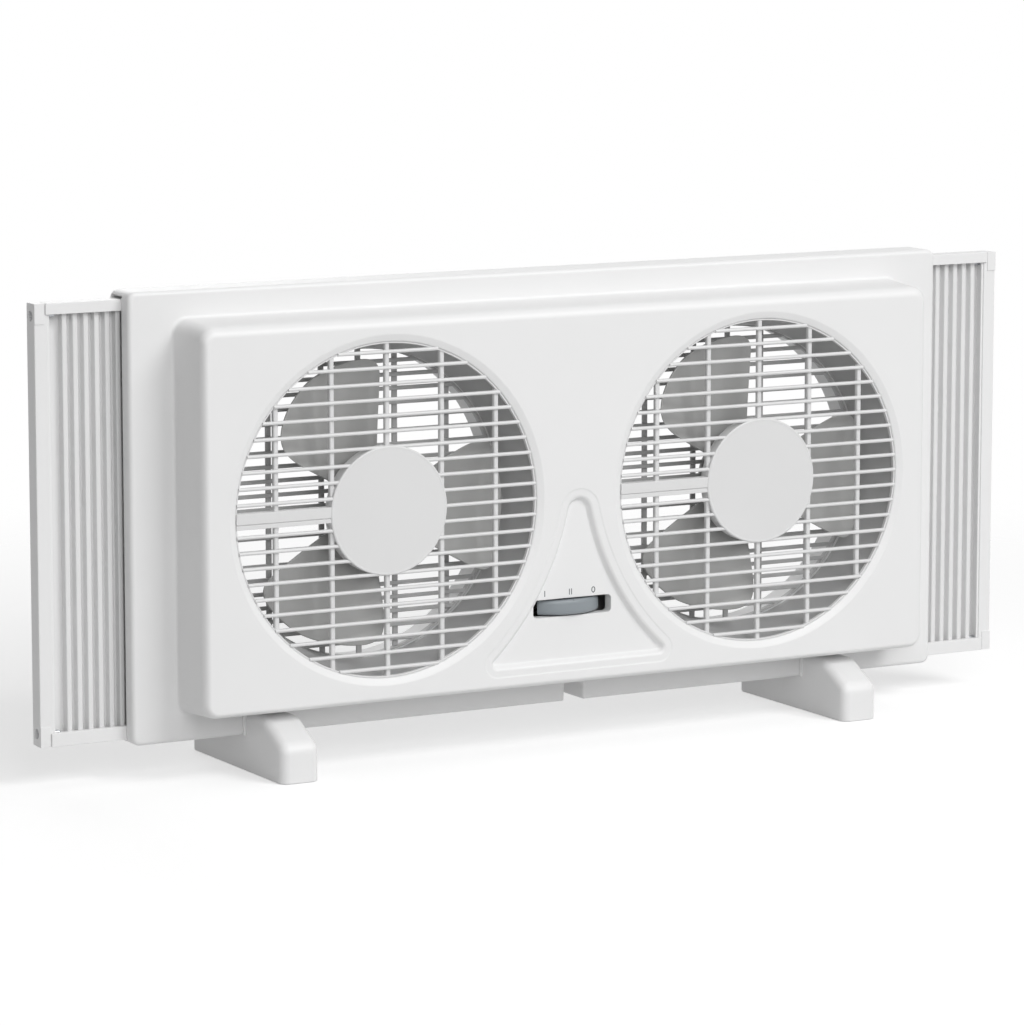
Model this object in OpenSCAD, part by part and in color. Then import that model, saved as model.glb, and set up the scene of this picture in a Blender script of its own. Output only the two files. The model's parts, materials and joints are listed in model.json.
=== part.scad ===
// Twin window fan: two ducted axial fans in one moulded body that stands in a window opening,
// with an extender at each end, two clip-under feet and a three-position thumbwheel switch.
// Millimetres. X runs to the right seen from the room, Y runs from the room to the outdoors,
// Z is up. The origin is on the floor, under the middle of the window panel.

/* [Window panel] */
// Width of the panel's flat border at either end of the bezel
border_side = 29; // [27:1:50]
// Height of the panel's flat border above and below the bezel
border_top = 17; // [14:0.5:28]
// Depth of the panel from its room side to its outdoor side
panel_d = 26; // [24:0.5:36]
// Thickness of every moulded wall
wall = 2.5; // [1.8:0.1:3.2]
// Radius of the panel's corners
panel_corner_r = 5; // [3:0.5:10]
// Width of the notch in the lower edge
notch_w = 13; // [8:0.5:20]
// Height of the notch in the lower edge
notch_h = 11; // [6:0.5:14]
// Distance of the notch's middle to the right of the panel's middle
notch_x = 16.5; // [16:0.5:30]

/* [Bezel] */
// Width of the bezel's face between a fan opening and the bezel's end
bezel_side = 22; // [18:0.5:40]
// Height of the bezel's face above and below a fan opening
bezel_top = 16; // [14:0.5:30]
// How far the bezel stands out from the panel
bezel_d = 36; // [35:0.5:46]
// Draft of each side of the bezel over its depth
bezel_draft = 2; // [1:0.25:4]
// Rounding of the bezel's front edges
bezel_edge_r = 9; // [6:0.5:12]
// Width of the chamfer round each fan opening
rim_w = 4.5; // [2:0.5:6]

/* [Switch panel] */
// Depth of the bell-shaped recess round the switch
recess_d = 4; // [2:0.25:6]
// Width of the shallow band round the recess
band_w = 6.5; // [4:0.25:8]
// Radius of the round top of the recess
bell_top_r = 14; // [12:0.5:18]
// Drop from the fan axes to the middle of that round top
bell_top_drop = 9.5; // [4:0.5:18]
// Radius of the lower corners of the recess
bell_corner_r = 9; // [6:0.5:11]
// Distance of the lower corners' middles from the panel's middle
bell_corner_x = 56.5; // [50:0.5:60]
// Drop from the fan axes to the lower corners' middles
bell_corner_drop = 98; // [92:0.5:99]
// Radius of the hollow sides of the recess
bell_side_r = 160; // [120:1:220]

/* [Fans] */
// Diameter of each opening in the bezel
opening_d = 200; // [180:1:230]
// Distance between the two openings
opening_gap = 58; // [54:1:80]
// How much narrower the orifice is than the opening, on the radius
orifice_step = 7; // [5:0.5:12]
// Gap between the blade tips and the orifice
tip_gap = 4; // [2:0.5:8]
// Diameter of the blade hub
blade_hub_d = 54; // [54:0.5:64]
// Blades on each fan
blade_count = 3; // [2:1:4]
// Angle that a blade spans at its hub
blade_root_deg = 72; // [50:1:80]
// Angle that a blade spans at its tip
blade_tip_deg = 50; // [35:1:60]
// Thickness of a blade
blade_t = 1.6; // [1.2:0.1:2.4]
// Axial depth that the blades fill
blade_depth = 18; // [14:0.5:19]
// Running clearance between a shaft and its bearing, on the radius
shaft_clearance = 0.03; // [0.02:0.01:0.08]

/* [Front grille] */
// Diameter of the disc in the middle of each front grille
hub_disc_d = 77; // [77:0.5:84]
// Spacing of the horizontal bars
bar_pitch = 9.4; // [8:0.1:12]
// Height of a horizontal bar
bar_t = 2; // [1.6:0.1:3]
// Spacing of the upright stays
stay_pitch = 36.5; // [30:0.5:42]
// Width of an upright stay
stay_w = 3.2; // [2:0.1:5]
// Height of the wire channel from the hub disc to the rim
channel_h = 9.4; // [8:0.1:12]

/* [Rear grille] */
// Spacing of the horizontal bars
rear_bar_pitch = 8.4; // [7:0.1:11]
// Distance of the inner pair of stays from the fan axis
rear_stay_in = 24.5; // [22.5:0.5:30]
// Distance of the outer pair of stays from the fan axis
rear_stay_out = 59.5; // [45:0.5:70]
// Diameter of the disc in the middle of each rear grille
rear_disc_d = 40; // [30:1:44]

/* [Motor] */
// Diameter of the motor
motor_d = 46; // [44:0.5:52]
// Length of the motor
motor_l = 19; // [18:0.5:22]
// Diameter of the motor shaft
shaft_d = 6; // [5:0.5:8]
// Thickness of each stator coil, outwards from the shaft
coil_t = 4; // [3:0.1:4.5]
// Stator poles
pole_count = 6; // [4:2:8]
// Thickness of the motor's pressed steel brackets
bracket_t = 1; // [0.8:0.1:1.4]

/* [Switch] */
// Radius of the thumbwheel
wheel_r = 29.5; // [27:0.5:30]
// Thickness of the thumbwheel
wheel_t = 9; // [7:0.5:12]
// Half of the angle that the thumbwheel spans
wheel_half_deg = 46; // [40:1:52]
// Turn from the middle position to either side
wheel_turn_deg = 15; // [10:1:20]
// Length of the slot that the thumbwheel shows through
slot_w = 54; // [50:0.5:60]
// Distance of the switch to the right of the panel's middle
switch_x = -3; // [-6:0.5:4]
// Drop from the fan axes to the thumbwheel's middle
switch_drop = 68; // [62:0.5:68]

/* [Extenders] */
// How far each extender stands out of the panel in the middle of its range
ext_out = 54; // [50:1:58]
// Travel of an extender into the panel from there
ext_travel_in = 40; // [20:1:40]
// Travel of an extender out of the panel from there
ext_travel_out = 6; // [0:1:6]
// Gap between an extender's top and the panel's top wall
ext_top_gap = 2.2; // [1:0.1:6]
// Depth of an extender's frame
ext_t = 11; // [9:0.5:12]
// Width of the end cap
cap_w = 8.6; // [7:0.2:12]
// Height of the top rail
top_rail_h = 6.5; // [5:0.5:9]
// Height of the bottom rail
bottom_rail_h = 8; // [6:0.5:11]
// Length of rail inside the panel
rail_inside = 36; // [30:1:40]
// Width of sheet inside the panel
sheet_inside = 12; // [8:0.5:12]
// Spacing of the ribs on the extender sheet
rib_pitch = 6.35; // [5:0.05:9]
// Depth of the ribs
rib_d = 5; // [3:0.5:6]
// Thickness of the ribbed sheet
sheet_t = 1.4; // [1:0.1:1.8]

/* [Feet] */
// Width of a foot
foot_w = 22.5; // [18:0.5:30]
// Length of a foot from front to back
foot_l = 124; // [110:1:150]
// Height of the panel over the floor
foot_h = 21.5; // [16:0.5:30]
// Distance from the panel's end to a foot's middle
foot_inset = 85; // [85:0.5:110]
// Gap between a foot's top and the bezel
foot_gap = 3; // [1:0.5:6]

/* [Hidden] */

$fn = 96;
hull_fn = 32;   // facets of the shapes that hull() joins
eps = 0.01;     // overcut, so that no cut ends on a face
seat_gap = 0.1;  // gap between two fixed pieces that seat on each other
fit_gap = 0.02;  // radial gap of a fixed fit
slide_gap = 0.3; // gap between an extender and what it slides in

LEFT = -1;
RIGHT = 1;

fan_x = (opening_d + opening_gap) / 2;
orifice_d = opening_d - 2 * orifice_step;
blade_tip_d = orifice_d - 2 * tip_gap;
bezel_w = 2 * fan_x + opening_d + 2 * bezel_side;
bezel_h = opening_d + 2 * bezel_top;
panel_w = bezel_w + 2 * border_side;
panel_h = bezel_h + 2 * border_top;
panel_front = -panel_d / 2;
panel_back = panel_d / 2;
panel_bottom = foot_h;
panel_top = foot_h + panel_h;
fan_z = panel_bottom + panel_h / 2;
bezel_front = panel_front - bezel_d;
edge_r = min(bezel_edge_r, bezel_top - 6);

// Planes of the front grille and of the duct, from front to back
disc_front = bezel_front + 0.8;
disc_t = 2.2;
bar_front = bezel_front + 1.2;
bar_d = 2.2;
stay_d = 2.8;
flange_front = bezel_front + wall + 0.2;
flange_t = 1.8;
grille_ring_t = 1.8;
grille_ring_r = opening_d / 2 - 0.2;
flange_rim = 4;
flange_r = opening_d / 2 + flange_rim;
duct_front = flange_front + flange_t + seat_gap;
duct_t = 2;
duct_gap = 0.3;
duct_flange_r = orifice_d / 2 + 15;
duct_flange_t = 2;

// Motor stack, from the hub disc to the rear grille. A shallow bezel takes a shorter motor.
motor_len = min(motor_l, bezel_d + wall - 16.4);
ear_room = 17;
disc_d = max(hub_disc_d, motor_d + ear_room);
disc_back = disc_front + disc_t;
ear_boss_l = 4;
ear_front = disc_back + ear_boss_l;
motor_front = disc_back + 2;
motor_back = motor_front + motor_len;
motor_split = motor_front + motor_len / 2;
ear_boss_r = 3;
ear_angles = [90, 210, 330];
skirt_l = 6;
skirt_t = 2;
ear_r = disc_d / 2 - skirt_t - ear_boss_r - 0.5;
ear_t = 1.2;
motor_screw_r = 1;
motor_head_r = 2.3;
cup_t = 2;
cup_gap = 1.3;
hub_d = max(blade_hub_d, motor_d + 2 * cup_t + 4);
cup_back = motor_back + cup_gap + cup_t;
cup_front = disc_back + skirt_l + 1;
blade_back = cup_back;
blade_len = min(blade_depth, cup_back - cup_front);
blade_front = cup_back - blade_len;
hub_boss_l = 3.5;
nut_l = 3.4;
nut_across_r = 6;
shaft_front = motor_front + bracket_t + 0.4;
shaft_back = cup_back + hub_boss_l + nut_l + 0.4;
core_l = motor_len - 12;
core_mid = (motor_front + motor_back) / 2;
yoke_t = 3;
yoke_gap = 1.5;
pole_tip_l = 2;
air_gap = 0.5;
coil_out = motor_d / 2 - bracket_t - yoke_t - yoke_gap;
coil_in = coil_out - coil_t;
core_r = coil_in - pole_tip_l - air_gap;
bearing_r = 6;
bearing_l = 3.6;

// Frame, back panel and rear grille
frame_back = panel_back - wall;
front_wall_back = panel_front + wall;
rear_ring_in_r = orifice_d / 2 - 1;
rear_ring_r = orifice_d / 2 + 5;
rear_grille_t = 4.2;
tube_in_r = orifice_d / 2 + 0.5;
tube_t = 2.5;
tube_front = front_wall_back + rear_grille_t + seat_gap;

// Fixings
screw_r = 1.3;
pilot_r = screw_r + fit_gap;
screw_hole_r = 1.8;
screw_head_r = 3;
screw_head_l = 2;
head_gap = 0.05;
boss_r = 4;
bezel_boss_x = bezel_w / 2 - 16;
boss_inset = 20;
bezel_boss_z = bezel_h / 2 - boss_inset;
guide_inner = panel_w / 2 - rail_inside - ext_travel_in - 3;
foot_x = min(panel_w / 2 - foot_inset, guide_inner - boss_r - 2);
back_boss_x = foot_x - foot_w / 2 - boss_r - 8;
back_boss_z = panel_h / 2 - 14;
foot_screw_y = panel_d / 2 - 7;
foot_boss_l = 10;
foot_slope_l = 24;
foot_screw_l = 15;
foot_screw_seat = foot_h - 7;
panel_screw_l = 12;

// Extenders
ext_front = panel_back - wall - 2 - ext_t;
ext_back = ext_front + ext_t;
ext_mid = (ext_front + ext_back) / 2;
ext_bottom = panel_bottom + wall + slide_gap;
ext_top = panel_top - wall - ext_top_gap;
cap_outer = panel_w / 2 + ext_out;
cap_inner = cap_outer - cap_w;
cap_block_h = 12;
cap_block_out = 0.6;
rail_outer = cap_inner - seat_gap;
rail_inner = panel_w / 2 - rail_inside;
sheet_inner = panel_w / 2 - sheet_inside;
groove_d = 2.6;
groove_gap = 0.3;
rail_boss_l = 8;
rail_boss_h = 11;
ext_screw_z = 7.4;
ext_screw_l = cap_w + 3.4;
ext_screw_recess = 4;
ext_seat = cap_outer - ext_screw_recess;
guide_t = 1.4;
guide_h = 9;

// Switch and its recess
recess_floor = bezel_front + recess_d;
wheel_proud = 3.4;
band_d = 0.4;
wheel_front = recess_floor - wheel_proud;
body_d = 10;
wheel_radius = min(wheel_r, panel_front - 0.8 - body_d / 2 - wheel_front);
wheel_y = wheel_front + wheel_radius;
switch_room = 48;
bell_land = 72.5;
wheel_z = fan_z - min(switch_drop, bezel_h / 2 - switch_room);
bell_x = min(bell_corner_x, fan_x - bell_land);
bell_gap = sqrt(pow(flange_r + bell_corner_r + 3, 2) - pow(fan_x - bell_x, 2));
bell_drop = min(max(bell_corner_drop, bell_gap), bezel_h / 2 - bell_corner_r - 9);
wheel_hub_r = 5;
wheel_shaft_r = 2.5;
slot_h = wheel_t + 1.8;
body_w = 28;
body_h = 18;
body_top = wheel_z - wheel_t / 2 - 0.5;
body_bottom = body_top - body_h;
wheel_shaft_l = 12;
ear_w = 10;
switch_ear_t = 2;
switch_ear_z = body_bottom + 7;
switch_ear_x = body_w / 2 + ear_w / 2;
switch_ear_front = wheel_y - body_d / 2;
terminal_l = 7;
terminal_x = [-9, -3, 3, 9];

// Leads
lead_r = 1.5;
lead_sides = 8;
lead_ring_r = flange_r + lead_r + 2;
lead_y = recess_floor + 15;
lead_exit_y = motor_front + 2.2;
channel_mid = bar_front + 3.6;
bushing_x = -40;
bushing_rise = 29;
bushing_z = panel_bottom + bushing_rise;
bushing_r = 7;
bushing_bore_r = 3.6;

// ---------- helpers ----------

// A flat outline drawn in X and Z, thick from y0 to y1
module slab(y0, y1) {
    translate([0, y1, 0]) rotate([90, 0, 0]) linear_extrude(y1 - y0) children();
}

// A round bar along Y
module rod_y(r, y0, y1, x = 0, z = 0) {
    translate([x, y1, z]) rotate([90, 0, 0]) cylinder(r = r, h = y1 - y0);
}

// A round bar along X
module rod_x(r, x0, x1, y = 0, z = 0) {
    translate([x0, y, z]) rotate([0, 90, 0]) cylinder(r = r, h = x1 - x0);
}

// A cone along Y, with radius r0 at y0 and r1 at y1
module cone_y(r0, r1, y0, y1) {
    translate([0, y1, 0]) rotate([90, 0, 0]) cylinder(r1 = r1, r2 = r0, h = y1 - y0);
}

// A tube along Y
module tube_y(r_in, r_out, y0, y1) {
    difference() {
        rod_y(r_out, y0, y1);
        rod_y(r_in, y0 - eps, y1 + eps);
    }
}

// A box given by two opposite corners
module block(a, b) {
    translate([min(a[0], b[0]), min(a[1], b[1]), min(a[2], b[2])])
        cube([abs(b[0] - a[0]), abs(b[1] - a[1]), abs(b[2] - a[2])]);
}

// A rectangle with round corners, centred
module round_rect(w, h, r) {
    square([w - 2 * r, h], center = true);
    square([w, h - 2 * r], center = true);
    for (x = [-1, 1], z = [-1, 1])
        translate([x * (w / 2 - r), z * (h / 2 - r)]) circle(r);
}

// Moves a piece of one fan, drawn round the Y axis, to the left or the right fan
module at_fan(side) {
    translate([side * fan_x, 0, fan_z]) children();
}

// Draws a piece of the right extender, or its mirror image for the left one
module at_end(side) {
    mirror([side == LEFT ? 1 : 0, 0, 0]) children();
}

// A screw along Y with its head at the back: y_tip is the point, y_head is under the head
module screw_y(y_tip, y_head, x, z) {
    rod_y(screw_r, y_tip, y_head + eps, x, z);
    rod_y(screw_head_r, y_head, y_head + screw_head_l, x, z);
}

// A smooth lead along a list of points
function unit(v) = v / norm(v);
function tangent(p, i) = unit(p[min(i + 1, len(p) - 1)] - p[max(i - 1, 0)]);
function across(t) = unit(cross(t, abs(t[1]) > 0.9 ? [0, 0, 1] : [0, 1, 0]));
module lead(p, r) {
    rings = [for (i = [0 : len(p) - 1])
        let (t = tangent(p, i), u = across(t), v = cross(t, u))
        for (k = [0 : lead_sides - 1])
            let (a = 360 * k / lead_sides) p[i] + r * (cos(a) * u + sin(a) * v)];
    n = lead_sides;
    last = len(p) - 1;
    faces = concat(
        [[for (k = [0 : n - 1]) k]],
        [for (i = [0 : last - 1], k = [0 : n - 1])
            [i * n + k, (i + 1) * n + k, (i + 1) * n + (k + 1) % n, i * n + (k + 1) % n]],
        [[for (k = [n - 1 : -1 : 0]) last * n + k]]);
    polyhedron(rings, faces);
}

// ---------- housing ----------

// The rounded, drafted block of the bezel, drawn in by inset and closed by a plane at y_back
module bezel_block(inset, y_back) {
    half_w = bezel_w / 2;
    half_h = bezel_h / 2;
    r = edge_r;
    hull() {
        for (x = [-1, 1], z = [-1, 1]) {
            translate([x * (half_w - bezel_draft - r), bezel_front + r,
                fan_z + z * (half_h - bezel_draft - r)])
                sphere(r - inset, $fn = hull_fn);
            translate([x * (half_w - r), y_back, fan_z + z * (half_h - r)])
                rotate([90, 0, 0]) cylinder(r = r - inset, h = 1, $fn = hull_fn);
        }
    }
}

// Where the circle that makes the hollow side of the recess has its middle: it touches the round top
// and the lower corner from outside
bell_top = [0, fan_z - bell_top_drop];
bell_corner = [bell_x, fan_z - bell_drop];
bell_reach = norm(bell_corner - bell_top);
bell_dir = (bell_corner - bell_top) / bell_reach;
bell_a = ((bell_side_r + bell_top_r) ^ 2 - (bell_side_r + bell_corner_r) ^ 2 + bell_reach ^ 2)
    / (2 * bell_reach);
bell_b = sqrt((bell_side_r + bell_top_r) ^ 2 - bell_a ^ 2);
bell_side = bell_top + bell_a * bell_dir + bell_b * [-bell_dir[1], bell_dir[0]];
bell_top_deg = atan2(bell_side[1] - bell_top[1], bell_side[0] - bell_top[0]);
bell_low_deg = atan2(bell_side[1] - bell_corner[1], bell_side[0] - bell_corner[0]);

function arc(c, r, a0, a1, n) =
    [for (i = [0 : n]) let (a = a0 + (a1 - a0) * i / n) c + r * [cos(a), sin(a)]];
function flip(p) = [for (i = [len(p) - 1 : -1 : 0]) [-p[i][0], p[i][1]]];

// The bell-shaped outline, let out by grow
module bell(grow) {
    right = concat(
        arc(bell_top, bell_top_r + grow, 90, bell_top_deg, 8),
        arc(bell_side, bell_side_r - grow, bell_top_deg + 180, bell_low_deg + 180, 10),
        arc(bell_corner, bell_corner_r + grow, bell_low_deg, -90, 8));
    polygon(concat(right, flip(right)));
}

module front_bezel() {
    color("whitesmoke") difference() {
        union() {
            difference() {
                bezel_block(0, panel_front);
                bezel_block(wall, panel_front + 2);
            }
            slab(bezel_front + wall / 2, recess_floor + wall) bell(wall - band_w);
            for (x = [-1, 1], z = [-1, 1])
                rod_y(boss_r, bezel_front + wall / 2, panel_front - seat_gap,
                      x * bezel_boss_x, fan_z + z * bezel_boss_z);
            for (x = [-1, 1])
                rod_y(boss_r, recess_floor + wall / 2, switch_ear_front - seat_gap,
                      switch_x + x * switch_ear_x, switch_ear_z);
        }
        slab(bezel_front - 1, bezel_front + band_d) bell(0);
        slab(bezel_front - 1, recess_floor) bell(-band_w);
        translate([0, 0, wheel_z]) slab(bezel_front - 1, recess_floor + wall + 1)
            translate([switch_x, 0]) round_rect(slot_w, slot_h, 2.5);
        for (side = [LEFT, RIGHT]) at_fan(side) {
            rod_y(opening_d / 2, bezel_front - 1, duct_front + 1);
            cone_y(opening_d / 2 + rim_w + 1, opening_d / 2, bezel_front - 0.5, bezel_front + 1.8);
        }
        for (x = [-1, 1], z = [-1, 1])
            rod_y(pilot_r, panel_front - 16, panel_front + 2, x * bezel_boss_x, fan_z + z * bezel_boss_z);
        for (x = [-1, 1])
            rod_y(pilot_r, recess_floor + wall + 1, switch_ear_front + 1,
                  switch_x + x * switch_ear_x, switch_ear_z);
        block([-bezel_w, panel_front, panel_bottom], [bezel_w, panel_front + 2 * wall, panel_top]);
    }
}

// The outline of the window panel
module panel_outline() {
    translate([0, fan_z]) round_rect(panel_w, panel_h, panel_corner_r);
}

module notch_outline(grow) {
    translate([notch_x - notch_w / 2 - grow, panel_bottom - 1]) square([notch_w + 2 * grow,
        notch_h + 1 + grow]);
}

module panel_frame() {
    color("white") difference() {
        union() {
            difference() {
                slab(panel_front, frame_back) panel_outline();
                slab(front_wall_back, frame_back + 1)
                    translate([0, fan_z]) round_rect(panel_w - 2 * wall, panel_h - 2 * wall,
                        panel_corner_r - wall);
            }
            slab(panel_front, frame_back) intersection() {
                notch_outline(wall);
                panel_outline();
            }
            for (x = [-1, 0, 1], z = [-1, 1])
                rod_y(boss_r, front_wall_back - eps, frame_back - seat_gap,
                      x * back_boss_x, fan_z + z * back_boss_z);
            for (x = [-1, 1], y = [-foot_screw_y, foot_screw_y])
                translate([x * foot_x, y, panel_bottom + wall - eps])
                    cylinder(r = boss_r - 0.6, h = foot_boss_l);
            for (side = [LEFT, RIGHT]) at_end(side) {
                block([guide_inner, ext_front - slide_gap - guide_t, panel_top - wall - guide_h],
                      [panel_w / 2 - wall + eps, ext_front - slide_gap, panel_top - wall + eps]);
                block([guide_inner, ext_front - slide_gap - guide_t, panel_bottom + wall - eps],
                      [panel_w / 2 - wall + eps, ext_front - slide_gap, panel_bottom + wall + guide_h]);
                block([guide_inner, ext_mid - 2, ext_top + slide_gap],
                      [panel_w / 2 - wall + eps, ext_mid + 2, panel_top - wall + eps]);
            }
        }
        for (side = [LEFT, RIGHT]) at_fan(side) rod_y(orifice_d / 2, panel_front - 1, front_wall_back + 1);
        for (side = [LEFT, RIGHT]) at_end(side)
            block([panel_w / 2 - panel_corner_r, ext_front - slide_gap, panel_bottom + wall],
                  [panel_w / 2 + 1, frame_back + 1, ext_top + slide_gap]);
        slab(panel_front - 1, frame_back + 1) notch_outline(0);
        for (x = [-1, 1], z = [-1, 1])
            rod_y(screw_hole_r, panel_front - 1, front_wall_back + 1, x * bezel_boss_x,
                fan_z + z * bezel_boss_z);
        for (x = [-1, 0, 1], z = [-1, 1])
            rod_y(pilot_r, front_wall_back + 2, frame_back + 1, x * back_boss_x, fan_z + z * back_boss_z);
        for (x = [-1, 1], y = [-foot_screw_y, foot_screw_y])
            translate([x * foot_x, y, panel_bottom - 1]) cylinder(r = pilot_r, h = foot_boss_l + wall);
        rod_y(bushing_r, panel_front - 1, front_wall_back + 1, bushing_x, bushing_z);
    }
}

module back_panel() {
    color("white") difference() {
        union() {
            slab(frame_back, panel_back) panel_outline();
            for (side = [LEFT, RIGHT]) at_fan(side)
                rod_y(tube_in_r + tube_t, tube_front, frame_back + eps);
            for (side = [LEFT, RIGHT]) at_end(side) for (z = [0, 1])
                block([guide_inner, ext_back + slide_gap,
                       z == 1 ? ext_top - guide_h : ext_bottom + eps],
                      [panel_w / 2 - panel_corner_r, frame_back + eps,
                          z == 1 ? ext_top : ext_bottom + guide_h]);
        }
        for (side = [LEFT, RIGHT]) at_fan(side) {
            rod_y(tube_in_r, tube_front - 1, panel_back + 1);
            cone_y(tube_in_r, tube_in_r + 3.5, panel_back - 3, panel_back + 0.5);
        }
        slab(frame_back - 1, panel_back + 1) notch_outline(0);
        for (x = [-1, 0, 1], z = [-1, 1])
            rod_y(screw_hole_r, frame_back - 1, panel_back + 1, x * back_boss_x, fan_z + z * back_boss_z);
        rod_y(bushing_r + slide_gap / 2, frame_back - 1, panel_back + 1, bushing_x, bushing_z);
    }
}

// The duct that leads the air from the grille to the orifice, with a flange on the panel frame
module air_duct(side) {
    color("gainsboro") at_fan(side) difference() {
        union() {
            cone_y(opening_d / 2 + duct_gap + duct_t, orifice_d / 2 + duct_t, duct_front,
                panel_front - seat_gap);
            rod_y(duct_flange_r, panel_front - seat_gap - duct_flange_t, panel_front - seat_gap);
        }
        cone_y(opening_d / 2 + duct_gap, orifice_d / 2, duct_front - eps, panel_front);
        block([-opening_d, duct_front - 1, -lead_r - 0.7],
            [-opening_d / 2 + 3, duct_front + 3, lead_r + 0.7]);
    }
}

// ---------- grilles ----------

module front_grille(side) {
    ring_in = grille_ring_r - grille_ring_t;
    rows = floor((ring_in - bar_t) / bar_pitch);
    color("whitesmoke") at_fan(side) difference() {
        union() {
            tube_y(ring_in, grille_ring_r, bezel_front + 1, flange_front + flange_t + 0.2);
            tube_y(grille_ring_r - 0.5, flange_r, flange_front, flange_front + flange_t);
            intersection() {
                union() {
                    for (k = [-rows : rows])
                        block([k == 0 ? 0 : -opening_d / 2, bar_front, k * bar_pitch - bar_t / 2],
                              [opening_d / 2, bar_front + bar_d, k * bar_pitch + bar_t / 2]);
                    for (k = [-2 : 2])
                        block([k * stay_pitch - stay_w / 2, bar_front + bar_d - 0.4, -opening_d / 2],
                              [k * stay_pitch + stay_w / 2, bar_front + bar_d + stay_d - 0.4,
                                  opening_d / 2]);
                    block([-opening_d / 2, bar_front, -channel_h / 2], [0, bar_front + 6.2, channel_h / 2]);
                }
                rod_y(ring_in + 0.6, bar_front - 1, bar_front + 10);
            }
            rod_y(disc_d / 2, disc_front, disc_back);
            rod_y(disc_d / 2, disc_back - eps, disc_back + skirt_l);
        }
        difference() {
            rod_y(disc_d / 2 - skirt_t, disc_back, disc_back + skirt_l + 1);
            for (a = ear_angles)
                rod_y(ear_boss_r, disc_back - 1, ear_front - seat_gap, ear_r * cos(a), ear_r * sin(a));
        }
        for (a = ear_angles)
            rod_y(motor_screw_r + fit_gap, disc_back - 0.6, ear_front + 1, ear_r * cos(a), ear_r * sin(a));
        block([-opening_d, bar_front + 1.8, -channel_h / 2 + 1.4],
              [-disc_d / 2 + 3, bar_front + 20, channel_h / 2 - 1.4]);
    }
}

module rear_grille(side) {
    rows = floor((rear_ring_in_r - bar_t) / rear_bar_pitch);
    color("dimgray") at_fan(side) translate([0, front_wall_back + seat_gap, 0]) {
        tube_y(rear_ring_in_r, rear_ring_r, 0, rear_grille_t - seat_gap);
        intersection() {
            union() {
                for (k = [-rows : rows])
                    block([-orifice_d, 0.3, k * rear_bar_pitch - bar_t / 2],
                          [orifice_d, 2.3, k * rear_bar_pitch + bar_t / 2]);
                for (x = [-rear_stay_out, -rear_stay_in, 0, rear_stay_in, rear_stay_out])
                    block([x - stay_w / 2, 1.9, -orifice_d],
                        [x + stay_w / 2, rear_grille_t - 0.3, orifice_d]);
            }
            rod_y(rear_ring_in_r + 0.6, -1, rear_grille_t);
        }
        rod_y(rear_disc_d / 2, 1, rear_grille_t - 0.3);
    }
}

// ---------- motors ----------

module motor_front_bracket(side) {
    r = motor_d / 2;
    color("silver") at_fan(side) difference() {
        union() {
            rod_y(r, motor_front, motor_split);
            for (a = ear_angles) {
                rod_y(ear_boss_r - 0.2, ear_front, ear_front + ear_t, ear_r * cos(a), ear_r * sin(a));
                rotate([0, -a, 0]) block([r - 0.6, ear_front, -2.4], [ear_r, ear_front + ear_t, 2.4]);
            }
        }
        difference() {
            rod_y(r - bracket_t, motor_front + bracket_t, motor_split + 1);
            rod_y(bearing_r + bracket_t, motor_front, shaft_front + bearing_l - 1);
        }
        rod_y(bearing_r, motor_front + bracket_t, motor_split);
        for (a = ear_angles)
            rod_y(motor_screw_r + 0.3, ear_front - 1, ear_front + 2, ear_r * cos(a), ear_r * sin(a));
        rod_x(lead_r + 0.2, -r - 5, -r + 6, lead_exit_y, 0);
    }
}

module motor_rear_bracket(side) {
    r = motor_d / 2;
    color("silver") at_fan(side) difference() {
        rod_y(r, motor_split, motor_back);
        difference() {
            rod_y(r - bracket_t, motor_split - 1, motor_back - bracket_t);
            rod_y(bearing_r + bracket_t, motor_back - bracket_t - bearing_l + 0.6, motor_back);
        }
        rod_y(bearing_r, motor_split, motor_back - bracket_t);
        rod_y(shaft_d / 2 + 1, motor_back - 2, motor_back + 1);
    }
}

module stator_core(side) {
    yoke_r = motor_d / 2 - bracket_t - seat_gap;
    color("slategray") at_fan(side) difference() {
        union() {
            tube_y(yoke_r - yoke_t, yoke_r, core_mid - core_l / 2, core_mid + core_l / 2);
            intersection() {
                for (k = [0 : pole_count - 1]) rotate([0, k * 360 / pole_count, 0])
                    block([0, core_mid - core_l / 2, -3], [yoke_r - yoke_t + 0.5, core_mid + core_l / 2, 3]);
                rod_y(yoke_r - 2, core_mid - core_l, core_mid + core_l);
            }
        }
        rod_y(core_r + air_gap, core_mid - core_l, core_mid + core_l);
    }
}

module stator_coils(side) {
    side_w = 2;
    color("peru") at_fan(side) for (k = [0 : pole_count - 1]) rotate([0, k * 360 / pole_count, 0])
        difference() {
            block([coil_in, core_mid - core_l / 2 - 2.6, -3 - side_w],
                  [coil_out, core_mid + core_l / 2 + 2.6, 3 + side_w]);
            block([coil_in - 1, core_mid - core_l / 2 - seat_gap, -3 - seat_gap],
                  [coil_out + 1, core_mid + core_l / 2 + seat_gap, 3 + seat_gap]);
        }
}

module motor_bearings(side) {
    bore_r = shaft_d / 2 + shaft_clearance;
    color("goldenrod") at_fan(side) {
        tube_y(bore_r, bearing_r - fit_gap, motor_front + bracket_t + fit_gap,
            motor_front + bracket_t + bearing_l);
        tube_y(bore_r, bearing_r - fit_gap, motor_back - bracket_t - bearing_l,
            motor_back - bracket_t - fit_gap);
    }
}

module motor_screws() {
    color("lightgray") for (side = [LEFT, RIGHT]) at_fan(side)
        for (a = ear_angles) {
            x = ear_r * cos(a);
            z = ear_r * sin(a);
            rod_y(motor_screw_r, disc_back - 0.4, ear_front + ear_t + 0.1, x, z);
            rod_y(motor_head_r, ear_front + ear_t + head_gap, ear_front + ear_t + 1.6, x, z);
        }
}

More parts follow.
